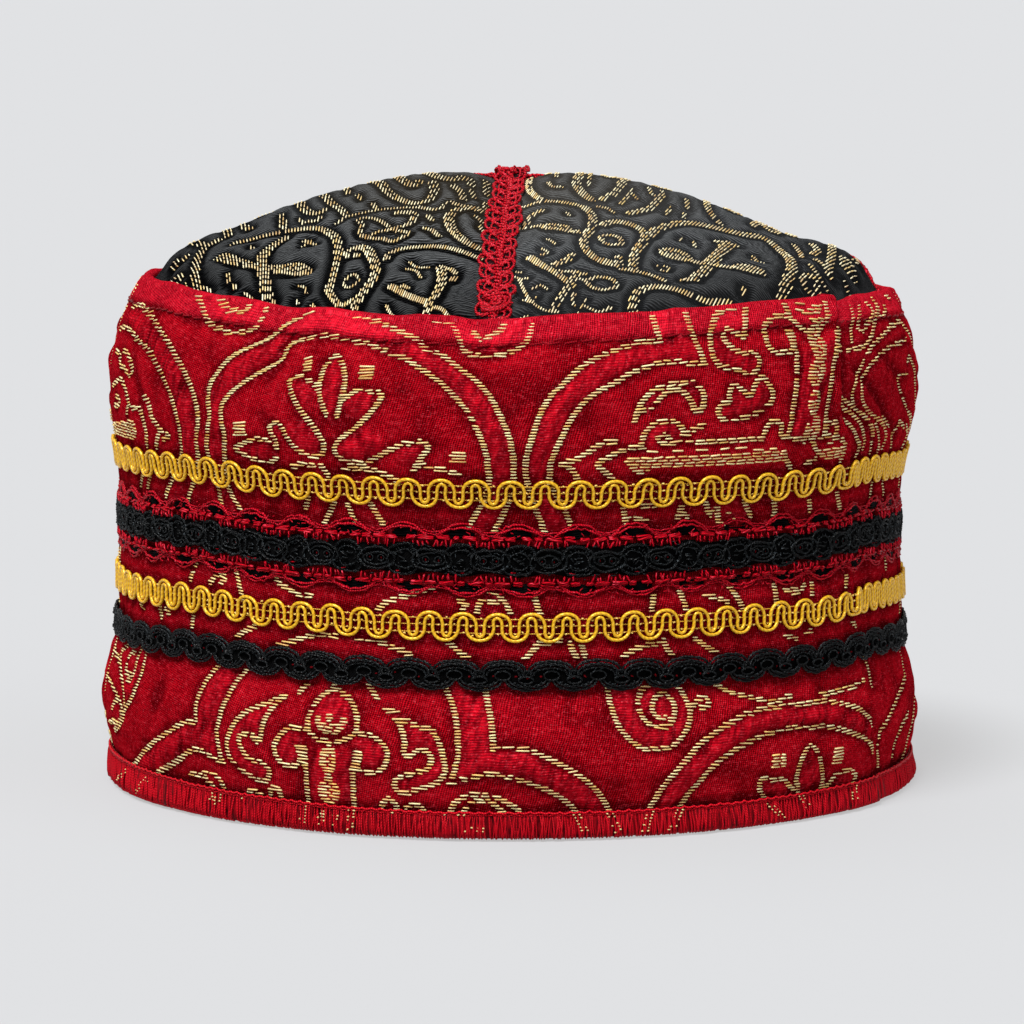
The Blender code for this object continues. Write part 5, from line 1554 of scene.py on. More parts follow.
def build_black_middle(mats):
    """Lens-shaped eyes between dark domes that sit under the eyelets."""
    pile = Pile()
    v0 = 62.1
    swell = under_trim(v0)
    rng = np.random.default_rng(62)

    def jig(depth, *shape):
        return rng.normal(0, depth, shape)

    # close net under the cords
    n, rows = 900, 9
    T, A = np.meshgrid(np.arange(n) * GIRTH / n, np.linspace(-1, 1, rows),
                       indexing="ij")
    edge = 3.25 + 0.45 * np.cos(2 * math.pi * (T - EYE_AT) / EYE)
    V = v0 + A * edge + wander(T, 65, 0.25)
    OFF = 0.45 + 0.55 * np.sqrt(np.maximum(0.0, 1 - A ** 2)) + 0.20 * ripple(
        T / 0.9, V / 0.8, 66)
    net(pile, T, V, OFF, swell)
    k = np.arange(45)[:, None]
    dome = EYE_AT + k * EYE
    eye = dome + EYE / 2

    def stray(u, v, depth, seed):
        """Hand-worked threads never run quite true."""
        return (u + depth * cloth_noise(u, v, 1.9, 1.5, seed),
                v + depth * 0.8 * cloth_noise(u, v, 1.7, 1.7, seed + 1))

    # outline of each eye, two threads wound together, and one inside it
    a = np.linspace(0, 2 * math.pi, 40, endpoint=False)[None]
    su, sv = 1 + jig(0.05, 45, 1), 1 + jig(0.06, 45, 1)
    u = eye + jig(0.15, 45, 1) + 4.45 * su * np.cos(a)
    v = v0 - 0.05 + 2.35 * sv * np.sign(np.sin(a)) * np.abs(
        np.sin(a)) ** 0.9 + wander(u, 65, 0.25) + 0.10 * np.sin(
        3 * a + rng.uniform(0, 6, (45, 1)))
    u, v = stray(u, v, 0.42, 401)
    plied(pile, u, v, 1.32 + 0.12 * np.sin(2 * a + jig(2, 45, 1)), swell,
          0.24, 1, 1.35, 0.22, 3, True)
    a = np.linspace(0, 2 * math.pi, 26, endpoint=False)[None]
    u = eye + 3.0 * su * np.cos(a)
    v = v0 - 0.05 + 1.42 * sv * np.sin(a) + wander(u, 65, 0.25)
    u, v = stray(u, v, 0.45, 411)
    plied(pile, u, v, 1.22, swell, 0.21, 1, 1.1, 0.16, 3, True)
    # small rings round the two holes in the eye
    a = np.linspace(0, 2 * math.pi, 10, endpoint=False)[None]
    for du in (-1.45, 1.35):
        u = eye + du + jig(0.12, 45, 1) + 0.78 * np.cos(a)
        v = v0 + 0.72 * np.sin(a) + wander(u, 65, 0.25)
        pile.add(sewn_tubes(u, v, 1.25 + jig(0.08, 45, 1), swell, 0.22, None,
                            3, True), 1)
    # arches over and under each dome
    b = np.linspace(-1, 1, 20)[None]
    for high, half, foot, deep, lift in (
            (3.30, 3.55, 0.35, 0.62, 1.28), (-3.35, 3.45, -0.45, 0.66, 1.15)):
        top = high * (1 + jig(0.04, 45, 1))
        u = dome + half * (1 + jig(0.04, 45, 1)) * np.sin(b * math.pi / 2)
        v = v0 + foot + (top - foot) * np.cos(b * math.pi / 2) ** deep
        v = v + wander(u, 65, 0.25)
        u, v = stray(u, v, 0.45, 421)
        plied(pile, u, v, lift, swell, 0.21, 1, 1.3, 0.23, 3)
    for high, half, foot in ((2.15, 2.2, 0.6), (-2.2, 2.1, -0.7)):
        u = dome + half * b
        v = v0 + foot + (high - foot) * np.sqrt(1 - 0.98 * b ** 2) + wander(
            u, 65, 0.25) + jig(0.10, 45, 1)
        u, v = stray(u, v, 0.45, 431)
        pile.add(sewn_tubes(u, v, 1.22, swell, 0.21, None, 3), 1)
    # threads fanned out in the domes
    for sign, count in ((1, 7), (-1, 6)):
        fan = np.linspace(-58, 58, count)[None]
        ang = np.radians(fan + jig(5, 45, count))
        reach = rng.uniform(1.75, 2.5, (45, count))
        u = dome + np.sin(ang) * reach * 1.25
        v = v0 + sign * (0.55 + np.cos(ang) * reach * 0.85)
        spots(pile, u.ravel(), v.ravel() + wander(u.ravel(), 65, 0.25),
              rng.uniform(1.0, 1.25, u.size), swell,
              (90 - sign * np.degrees(ang)).ravel(),
              rng.uniform(0.35, 0.6, u.size), 0.17, 0.17, 1)
    # the knot across the middle of each dome
    for rise, half, du in ((0.42, 0.8, -0.2), (0.02, 1.1, 0.1),
                           (-0.40, 0.9, 0.0)):
        u = (dome + du + jig(0.5, 45, 1)).ravel()
        spots(pile, u, v0 + rise + jig(0.22, 45) + wander(u, 65, 0.25),
              1.36 + jig(0.08, 45), swell, jig(24, 45),
              half * rng.uniform(0.85, 1.1, 45), 0.19, 0.24, 1)
    # stray threads along both edges and between eye and dome
    for rise, spread, many, tilt in ((3.05, 0.30, 6, 8), (-3.15, 0.30, 6, 8),
                                     (1.9, 0.6, 8, 35), (-1.9, 0.6, 8, 35),
                                     (0.0, 0.9, 9, 50)):
        u = rng.uniform(0, GIRTH, 45 * many)
        spots(pile, u, v0 + rise + jig(spread, len(u)) + wander(u, 65, 0.25),
              rng.uniform(0.95, 1.4, len(u)), swell, jig(tilt, len(u)),
              rng.uniform(0.3, 0.8, len(u)), 0.17, 0.19, 1)
    # red of the lace shows through the eyes, painted as red in shade, and beside the domes' feet
    u = (eye + np.array((-1.45, 1.35))[None] + jig(0.12, 45, 2)).ravel()
    spots(pile, u, v0 + jig(0.08, len(u)) + wander(u, 65, 0.25), 1.02,
          swell, np.full(len(u), 90.0), rng.uniform(0.25, 0.5, len(u)), 0.30,
          0.10, 2)
    u = (dome + np.array((-1.1, 0.8))[None] + jig(0.3, 45, 2)).ravel()
    u = u[rng.uniform(0, 1, len(u)) > 0.45]
    spots(pile, u, v0 - 2.75 + jig(0.15, len(u)) + wander(u, 65, 0.25), 1.02,
          swell, jig(5, len(u)), rng.uniform(0.5, 1.1, len(u)), 0.16, 0.12, 3)
    piece = pile.make("black_gimp_wide", mats, take="black_gimp")
    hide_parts("black_gimp_middle")
    return piece


# --- the scalloped black gimp below
def build_black_lower(mats):
    """Full arches above, bows half a step on below, rings between."""
    pile = Pile()
    v0 = 36.7
    swell = under_trim(v0)
    count = 56
    q = GIRTH / count
    top_at = 3.1
    rng = np.random.default_rng(36)

    def jig(depth, *shape):
        return rng.normal(0, depth, shape)

    n, rows = 896, 7
    T, A = np.meshgrid(np.arange(n) * GIRTH / n, np.linspace(-1, 1, rows),
                       indexing="ij")
    up = np.abs(np.cos(math.pi * (T - top_at) / q)) ** 0.8
    down = np.abs(np.sin(math.pi * (T - top_at) / q)) ** 0.8
    top = v0 + 0.55 + 2.1 * up
    foot = v0 - 1.15 - 1.45 * down
    V = (top + foot) / 2 + A * (top - foot) / 2 + wander(T, 38, 0.25)
    OFF = 0.30 + 0.35 * np.sqrt(np.maximum(0.0, 1 - A ** 2)) + 0.16 * ripple(
        T / 0.9, V / 0.8, 36)
    net(pile, T, V, OFF, swell)
    k = np.arange(count)[:, None]
    arch, bow = top_at + k * q, top_at + (k + 0.5) * q
    tip = 1 + jig(0.04, count, 1)
    b = np.linspace(-1, 1, 19)[None]
    for ring, (half, high, foot_v, lift) in enumerate((
            (5.35, 3.25, 0.35, 0.98), (4.65, 2.55, 0.10, 1.18),
            (3.85, 1.80, -0.10, 1.02))):
        u = arch + half * tip * np.sin(b * math.pi / 2) + 0.10 * np.sin(
            4 * b + ring)
        v = v0 + foot_v + (high - foot_v) * np.cos(b * math.pi / 2) ** 0.80
        v = v + wander(u, 38, 0.25) + jig(0.06, count, 1)
        plied(pile, u, v, lift - 0.25 * b ** 2, swell, 0.28, 1,
              (1.15, 1.0, 1.2)[ring], 0.22, 3)
    b = np.linspace(-1, 1, 16)[None]
    for ring, (half, low, foot_v, lift) in enumerate((
            (4.9, -3.15, -0.75, 0.92), (4.2, -2.45, -0.60, 1.08))):
        u = bow + half * np.sin(b * math.pi / 2)
        v = v0 + foot_v + (low - foot_v) * np.cos(b * math.pi / 2) ** 0.85
        v = v + wander(u, 38, 0.25) + jig(0.06, count, 1)
        plied(pile, u, v, lift - 0.2 * b ** 2, swell, 0.27, 1,
              (1.1, 1.05)[ring], 0.21, 3)
    # rings inside the arches and over the bows
    a = np.linspace(0, 2 * math.pi, 14, endpoint=False)[None]
    for at, rise, ru, rv, lift in ((arch, 0.05, 1.75, 1.05, 1.05),
                                   (bow, -0.95, 1.7, 0.80, 1.10),
                                   (bow, 0.45, 1.15, 0.70, 1.0)):
        u = at + jig(0.15, count, 1) + ru * np.cos(a)
        v = v0 + rise + rv * np.sin(a) + wander(u, 38, 0.25)
        plied(pile, u, v, lift, swell, 0.23, 1, 1.1, 0.15, 3, True)
    # grains on the crowns of arch and bow
    for at, rise, many, wide in ((arch, 2.45, 7, 3.4), (arch, 1.8, 6, 2.9),
                                 (bow, -2.2, 6, 3.0)):
        du = np.linspace(-1, 1, many)[None] * wide
        u = (at + du + jig(0.12, count, many)).ravel()
        drop = (np.abs(du) / 5.2) ** 2 * 1.9 * np.sign(rise)
        v = v0 + rise - np.broadcast_to(drop, (count, many)).ravel()
        lean = np.broadcast_to(-38 * du / 5.0 * np.sign(rise),
                               (count, many)).ravel()
        spots(pile, u, v + jig(0.1, len(u)) + wander(u, 38, 0.25),
              1.36 + jig(0.04, len(u)), swell, lean + 30 + jig(9, len(u)),
              rng.uniform(0.3, 0.5, len(u)), 0.20, 0.22, 1)
    # the cloth shows red in a few of the gaps, painted as red in shade
    u = (np.concatenate([arch + 2.9, arch - 2.8, bow + 0.1]) + jig(
        0.25, count * 3, 1)).ravel()
    u = u[rng.uniform(0, 1, len(u)) > 0.35]
    spots(pile, u, v0 - 0.2 + jig(0.3, len(u)) + wander(u, 38, 0.25), 0.78,
          swell, jig(30, len(u)), rng.uniform(0.2, 0.5, len(u)), 0.26, 0.10,
          2)
    piece = pile.make("black_gimp_scalloped", mats, take="black_gimp")
    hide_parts("black_gimp_lower")
    return piece


# --- the red crochet lace under the wide gimp
def build_lace(mats):
    pile = Pile()
    swell = under_trim(62.1)
    rng = np.random.default_rng(77)
    k = np.arange(45)[:, None]
    for side, line, peak in ((1, 66.9, 70.0), (-1, 57.0, 54.3)):
        rise = abs(peak - line)
        eye = EYE_AT + (0.0 if side > 0 else 1.2) + k * EYE
        # pairs of threads arching over each eyelet, not quite together
        q = np.linspace(-1, 1, 15)[None]
        for j, grow in enumerate((1.0, 0.74)):
            jig = rng.normal(0, 0.16, (45, 1))
            u = eye + q * (5.2 + 0.7 * j) * (1.0 if j == 0 else 0.92) + jig
            v = line + side * (0.15 + rise * grow * np.cos(q * 1.45) ** 0.8
                               + rng.normal(0, 0.13, (45, 15)))
            v = v + wander(u, 65, 0.25)
            off = 0.42 + 0.12 * j + rng.normal(0, 0.09, (45, 15))
            thick = 0.33 * rng.uniform(0.7, 1.25, (45, 15))
            pile.add(sewn_tubes(u, v, off, swell, thick, None, 3), 0,
                     (0.0, 0.3 * j))
        # a slack thread from arch to arch
        q = np.linspace(0, 1, 11)[None]
        u = eye + 3.6 + q * (EYE - 7.2)
        v = line + side * (rise * 0.55 - 0.35 * np.sin(math.pi * q)
                           + rng.normal(0, 0.09, (45, 11)))
        v = v + wander(u, 65, 0.25)
        pile.add(sewn_tubes(u, v, 0.45, swell, 0.22, None, 3), 0, (0.2, 0.1))
        u = eye + 4.2 + q * (EYE - 8.4)
        v = line + side * (rise * 0.26 + 0.2 * np.sin(2 * math.pi * q)
                           + rng.normal(0, 0.09, (45, 11)))
        v = v + wander(u, 65, 0.25)
        pile.add(sewn_tubes(u, v, 0.5, swell, 0.23, None, 3), 0, (0.4, 0.1))
        # chain of long stitches
        edges = []
        for i in range(45):
            e = eye[i, 0]
            x = e + 0.5
            while x < e + EYE - 1.4:
                length = rng.uniform(1.8, 3.9)
                edges.append((x, min(length, e + EYE - 0.4 - x)))
                x += length + rng.uniform(0.25, 0.6)
        edges = np.array(edges)
        u = edges[:, 0] + edges[:, 1] / 2
        for lane in (-0.12, 0.22):
            v = line + lane * side + wander(u, 65, 0.25) + rng.normal(
                0, 0.10, len(u))
            verts, faces = sewn_grains(
                u + rng.normal(0, 0.15, len(u)), v,
                np.full(len(u), 0.92 - lane), swell,
                rng.normal(0, 5.0, len(u)), edges[:, 1] / 2, 0.33, 0.34)
            loose(pile, verts, faces, 1)
        # fuzzy uprights caught over the edge of the wide gimp
        n = 45 * 9
        spot = np.repeat(eye[:, 0], 9) + EYE / 2 + np.tile(
            np.linspace(-4.3, 4.3, 9), 45) + rng.normal(0, 0.28, n)
        v = line - side * rng.uniform(0.7, 1.35, n) + wander(spot, 65, 0.25)
        verts, faces = sewn_grains(spot, v, rng.uniform(0.9, 1.35, n), swell,
                                   rng.normal(90, 16, n),
                                   rng.uniform(0.6, 1.15, n), 0.24, 0.25)
        loose(pile, verts, faces, 0)
        # whiskers
        n = 45 * 8
        spot = rng.uniform(0, GIRTH, n)
        v = line + side * rng.uniform(0.2, rise * 0.9, n) + wander(
            spot, 65, 0.25)
        verts, faces = sewn_grains(spot, v, rng.uniform(0.4, 0.9, n), swell,
                                   rng.normal(0, 40, n),
                                   rng.uniform(0.35, 0.8, n), 0.15, 0.16)
        loose(pile, verts, faces, 0)
        # the dark eyelets
        u = eye[:, 0] + rng.normal(0, 0.15, 45)
        v = np.full(45, line + side * 0.80) + wander(u, 65, 0.25)
        for lane, reach in ((-0.3, 2.9), (0.25, 3.1), (0.8, 2.8),
                            (1.35, 2.0)):
            verts, faces = sewn_grains(u, v + side * (lane - 0.1),
                                       np.full(45, 0.34), swell,
                                       rng.normal(0, 3, 45),
                                       reach * rng.uniform(0.85, 1.1, 45),
                                       0.46, 0.14)
            loose(pile, verts, faces, 2)
    piece = pile.make("red_lace", mats, take="red_crochet")
    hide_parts("lace_red")
    return piece


# --- crochet braid over the crown's seams
def build_braid(name, node, along_x, mats, seed):
    pile = Pile()
    rng = np.random.default_rng(seed)
    reach = 84.9
    half = 3.7

    def lay(w, across, off):
        """w mm along the seam from the middle, across it, over the crown."""
        if along_x:
            x, y = w, across
            # it beds into the seam, and its feet are drawn down into the rim
            hump = (-0.35 * smooth((np.abs(w) - 7.0) / 9.0)
                    - 0.45 * smooth((np.abs(w) - 60.0) / 14.0))
        else:
            x = across * (1 + 0.13 * smooth((-w - 15.0) / 30.0))
            y = w
            hump = 1.62 * smooth((half + 3.6 - np.abs(w)) / 3.4)
        z = (crown_height(x, y) + crown_shoulder(x, y) + off + hump
             + 0.35)
        return np.stack(np.broadcast_arrays(x + crown_slide(x, y), y, z), -1)

    up = np.array([0.0, 0.0, 1.0])
    # pitch opens out from the rim to the middle
    w, places = -reach + 1.2, []
    while w < reach - 1.0:
        places.append(w)
        w += 5.0 + 2.0 * (1 - abs(w) / reach)
    places = np.array(places)
    pitch = np.gradient(places)
    # soft ribbon under the loops, dark: painted shade in the braid's holes
    n, rows = 260, 9
    W, A = np.meshgrid(np.linspace(-reach, reach, n), np.linspace(
        -1, 1, rows), indexing="ij")
    wide = 2.5 + 0.25 * np.cos(2 * math.pi * np.interp(
        W, places, np.arange(len(places))))
    # where it crosses over the other braid it beds down into it
    sunk = 0.0 if along_x else 0.75 * smooth((half + 3.6 - np.abs(W)) / 3.4)
    P = lay(W, A * wide, 0.05 + 0.35 * np.sqrt(np.maximum(0, 1 - A ** 2))
            + 0.12 * ripple(W / 0.9, A * 3, seed) - sunk)
    faces = grid_faces(n, rows)
    if not along_x:
        faces = faces[:, ::-1]
    pile.v.append(P.reshape(-1, 3))
    pile.f.append(quads_to_tris(faces))
    pile.uv.append(np.stack([W.ravel(), A.ravel()], -1))
    pile.pick.append(np.ones(len(faces) * 2))
    pile.n += n * rows
    def wound(ww, cross, lift, thick, spread, pitch, closed, shade=0.0):
        """Two threads wound together along many paths over the crown."""
        leg = np.hypot(np.diff(ww, axis=1), np.diff(cross, axis=1))
        leg = np.concatenate([leg, leg[:, -1:]], 1)
        run = np.concatenate([np.zeros((len(ww), 1)),
                              np.cumsum(leg, 1)[:, :-1]], 1)
        if closed:
            dw = np.roll(ww, -1, 1) - np.roll(ww, 1, 1)
            dc = np.roll(cross, -1, 1) - np.roll(cross, 1, 1)
        else:
            dw, dc = np.gradient(ww, axis=1), np.gradient(cross, axis=1)
        size = np.hypot(dw, dc) + 1e-9
        turns = np.maximum(1, np.round(leg.sum(1, keepdims=True) / pitch))
        for k in range(2):
            ph = 2 * math.pi * turns * run / leg.sum(1, keepdims=True) + (
                k * math.pi)
            pts = lay(ww - dc / size * spread * np.sin(ph),
                      cross + dw / size * spread * np.sin(ph),
                      lift + 0.8 * spread * np.cos(ph))
            pile.add(tubes(pts, np.broadcast_to(up, pts.shape), thick, None,
                           3, closed=closed), 0, (shade + 0.4 * k, 0.2))

    # petals down both sides, out of step, each round a hole darkened by the ribbon's painted shade
    a = np.linspace(0, 2 * math.pi, 22, endpoint=False)[None]
    for side in (-1, 1):
        at = places[:, None] + (0.5 * pitch[:, None] if side > 0 else 0.0)
        at = at + rng.normal(0, 0.36, at.shape)
        keep = (np.abs(at) < reach - 2.1).ravel()
        at = at[keep]
        p = pitch[keep][:, None]
        many = len(at)

        def each(lo, hi):
            return rng.uniform(lo, hi, (many, 1))

        deep, long_, tip = each(0.84, 1.12), each(0.9, 1.16), each(-0.8, 0.8)
        # pinched at the middle of the braid, full at its edge
        body = 0.5 - 0.5 * np.cos(a)          # 0 at the root, 1 at the tip
        cross = side * (0.25 + 3.35 * deep * body)
        ww = at + np.sin(a) * 0.50 * p * long_ * (
            0.62 + 0.38 * body) + tip * body ** 2
        lift = 0.62 + 0.22 * body + 0.20 * np.sin(a + each(0, 6))
        wound(ww, cross, lift, 0.36, 0.24, 1.5, True)
        # a slack thread just inside it
        b = np.linspace(-2.3, 2.3, 13)[None]
        cross = side * (1.0 + 1.35 * deep * (0.5 + 0.5 * np.cos(b)) ** 0.8)
        ww = at + np.sin(b) * 0.25 * p + tip * 0.4
        pts = lay(ww, cross, 0.85 + 0.15 * np.cos(b * 2 + each(0, 6)))
        pile.add(tubes(pts, np.broadcast_to(up, pts.shape), 0.26, None, 4),
                 0, (0.5, 0.1))
        # a thread bridging from one petal to the next
        b = np.linspace(0, 1, 9)[None]
        ww = at + p * (0.30 + 0.40 * b)
        cross = side * (2.35 - 0.75 * np.sin(math.pi * b) * each(0.5, 1.3))
        ww = np.clip(ww, -reach + 0.8, reach - 0.8)
        pts = lay(ww, cross, 0.55 + 0.25 * np.sin(math.pi * b))
        pile.add(tubes(pts, np.broadcast_to(up, pts.shape), 0.27, None, 4),
                 0, (0.1, 0.4))
        # small knots where threads meet
        for row_at, spread, lift in ((3.25, 0.2, 0.95), (0.95, 0.25, 1.25)):
            pts_w = (at + rng.normal(0, 0.3, at.shape)).ravel()
            here = lay(pts_w, side * (row_at + rng.normal(0, spread, many)),
                       np.full(many, lift))
            turned = rng.uniform(0, math.pi, many)
            ahead = np.stack([np.cos(turned), np.sin(turned), 0 * turned],
                             -1)
            verts, faces = grains(here, np.broadcast_to(up, here.shape),
                                  ahead, rng.uniform(0.35, 0.6, many), 0.30,
                                  0.26)
            loose(pile, verts, faces, 0)
    if not along_x:
        # a pair of strands curled round on themselves near the front foot
        a = np.radians(np.linspace(-165, 150, 30))[None]
        for size, lift in ((1.0, 1.45), (0.70, 1.3)):
            wound(-76.2 + 3.9 * size * np.sin(a + 0.25),
                  0.2 + 2.9 * size * np.cos(a), lift + 0.1 * np.sin(3 * a),
                  0.33, 0.25, 1.4, False)
        wound(-76.0 + 1.1 * np.sin(a), 0.3 + 0.9 * np.cos(a),
              np.full(a.shape, 1.35), 0.30, 0.2, 1.3, False)
    # knotted chain up the middle
    run = np.linspace(-reach + 0.4, reach - 0.4, 420)
    turn = 2 * math.pi * np.interp(run, places, np.arange(len(places))) * 2
    for k in range(2):
        ph = turn + k * math.pi + 0.5 * ripple(run / 3.0, run * 0, seed + 5)
        pts = lay(run, 0.62 * np.cos(ph) + 0.30 * ripple(
            run / 5.0, run * 0, seed + 6), 0.78 + 0.34 * np.sin(ph))[None]
        pile.add(tubes(pts, np.broadcast_to(up, pts.shape), 0.36, None, 5),
                 0, (0.3 * k, 0.2))
    many = int(2 * reach / 1.7)
    ww = np.linspace(-reach + 1, reach - 1, many) + rng.normal(0, 0.25, many)
    here = lay(ww, rng.normal(0, 0.55, many), rng.uniform(1.2, 1.5, many))
    turned = rng.uniform(-0.9, 0.9, many) + (0 if along_x else math.pi / 2)
    ahead = np.stack([np.cos(turned), np.sin(turned), 0 * turned], -1)
    verts, faces = grains(here, np.broadcast_to(up, here.shape), ahead,
                          rng.uniform(0.4, 0.8, many), 0.30, 0.27)
    loose(pile, verts, faces, 0)
    piece = pile.make(name, mats, take="red_crochet")
    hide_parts(node)
    return piece


# --- overlocked hem
HEM_TOP = ((-180, 6.5), (-110, 7.2), (-70, 7.4), (-40, 6.6), (-10, 6.1),
           (30, 6.0), (70, 6.3), (120, 6.6), (180, 6.5))


def hem_top(u):
    return round_table(HEM_TOP, np.degrees(np.asarray(u) / ROUND))


HEM_PROFILE = ((1.0, 0.15), (0.96, 0.66), (0.75, 1.02), (0.45, 1.42),
               (0.17, 1.70), (0.06, 1.45), (0.02, 0.5), (0.02, -1.7),
               (0.08, -2.75), (0.35, -3.05), (0.82, -3.0), (0.86, -2.7))


def build_hem(mats):
    pile = Pile()
    rng = np.random.default_rng(6)
    swell = under_trim(7.5) * 0.6
    n, rows = 620, len(HEM_PROFILE)
    T, J = np.meshgrid(np.arange(n) * GIRTH / n, np.arange(rows),
                       indexing="ij")
    share = np.array([p[0] for p in HEM_PROFILE])[J]
    off = np.array([p[1] for p in HEM_PROFILE])[J]
    V = 0.12 + share * (hem_top(T) - 0.12)
    face = np.exp(-((share - 0.5) / 0.5) ** 4) * np.where(off > 0, 1.0, 0.4)
    off = off + face * (0.52 * ripple(T / 1.05, V / 9.0, 81)
                        + 0.12 * ripple(T / 0.6, V / 5.0, 82)
                        + 0.16 * ripple(T / 6.0, V / 7.0, 83))
    pts = sewn(T, V, off, swell)
    # profile runs down the outside: turn the faces to look outward
    faces = grid_faces(n, rows, close_columns=True)[:, ::-1]
    cloth = new_mesh("red_hem", pts.reshape(-1, 3), faces, mats[0],
                     uv=np.stack([T.ravel(), V.ravel()], -1) * 0.1,
                     take="red_brocade")
    # threads thrown over the edge, in two slants
    for lane, (pitch, slant, off0, wide) in enumerate((
            (0.86, 0.55, 0.84, 0.25), (1.05, -0.75, 0.93, 0.21))):
        many = int(GIRTH / pitch)
        u0 = (np.arange(many) * GIRTH / many + rng.normal(0, 0.16, many))
        u0 = u0[rng.uniform(0, 1, many) > (0.05, 0.30)[lane]][:, None]
        many = len(u0)
        q = np.linspace(0, 1, 7)[None]
        top = hem_top(u0)
        v = 0.30 + (top - 0.35) * (1 - np.minimum(q / 0.9, 1.0)) - (
            0.18 * smooth((q - 0.9) / 0.1))
        sway = rng.normal(0, 0.22, (many, 1))
        u = u0 + slant * (q - 0.5) + sway * np.sin(q * 3.1)
        off = off0 + 0.95 * smooth(q / 0.85) - 1.3 * smooth(
            (q - 0.82) / 0.18) - 0.35 * smooth((0.10 - q) / 0.10) + (
            rng.normal(0, 0.06, (many, 1))) + 0.52 * ripple(
                u / 1.05, v / 9.0, 81) * np.sin(math.pi * q)
        thick = wide * rng.uniform(0.85, 1.12, (many, 1)) * (
            0.85 + 0.3 * np.sin(math.pi * q))
        pile.add(sewn_tubes(u, v, off, swell, thick, None, 3), 0,
                 (0.0, 0.3 * lane))
    # the thread lying along the top of them
    n = 1000
    t = np.arange(n) * GIRTH / n
    peak = np.abs(np.sin(math.pi * t / (GIRTH / 270.0)))
    v = hem_top(t) - 0.15 + 0.42 * (1 - peak) ** 1.5 + 0.12 * ripple(
        t / 1.3, t * 0 + 5, 84)
    pile.add(sewn_tubes(t, v, 0.72 + 0.15 * peak, swell, 0.25, None, 4,
                        closed=True), 0, (0.2, 0.0))
    v = hem_top(t) - 0.55 + 0.16 * np.sin(t * 2 * math.pi / (GIRTH / 400.0))
    pile.add(sewn_tubes(t, v, 0.80, swell, 0.21, None, 3, closed=True), 0,
             (0.5, 0.0))
    # specks of the cloth's gold show between
    rows_at = [k for k in range(1, 9)]
    us, vs = [], []
    for k in rows_at:
        for a, b in FRONT_ROWS.get(k, []):
            for x in np.arange(a, b, 1.3):
                us.append(x)
                vs.append(k * ROW)
    us, vs = np.array(us), np.array(vs)
    keep = (rng.uniform(0, 1, len(us)) > 0.35) & (us > CHART_LEFT) & (
        us < lap_u(3)) & (vs > 0.8)
    us, vs = us[keep], vs[keep]
    q = 0.9 * (1 - (vs - 0.30) / (hem_top(us) - 0.35))
    high = rng.uniform(0.98, 1.14, len(us)) + 0.95 * smooth(q / 0.85) + (
        0.52 * ripple(us / 1.05, vs / 9.0, 81) * np.sin(math.pi * q))
    verts, faces = sewn_grains(us, vs, high, swell,
                               rng.normal(4, 10, len(us)),
                               rng.uniform(0.22, 0.42, len(us)), 0.19, 0.22)
    loose(pile, verts, faces, 1)
    threads = pile.make("hem_threads", mats[1:], take="red_brocade")
    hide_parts("bottom_hem")
    return cloth, threads


# --- running stitch below the rim
def build_rim_stitch(mat):
    pile = Pile()
    rng = np.random.default_rng(11)
    swell = np.zeros(1201)
    pitch = GIRTH / 150.0
    k = np.arange(150)[:, None]
    q = np.linspace(0, 1, 7)[None]
    u = k * pitch + 1.0 + q * (3.05 + 0.3 * rng.normal(0, 1, (150, 1)))
    v = 111.7 + 0.10 * rng.normal(0, 1, (150, 1)) + 0.35 * (q - 0.4)
    t = cloth_t(u, v)
    own = relief(t, v)
    off = own + 0.20 - 0.22 * (2 * q - 1) ** 4
    pile.add(sewn_tubes(u, v, off, swell, 0.24, 0.20, 5), 0)
    return pile.make("rim_stitch", mat, take="red_brocade")

# ---------------------------------------------------------------- materials
def srgb(r, g, b):
    out = []
    for c in (r, g, b):
        c /= 255.0
        out.append(c / 12.92 if c <= 0.04045 else ((c + 0.055) / 1.055) ** 2.4)
    return (*out, 1.0)


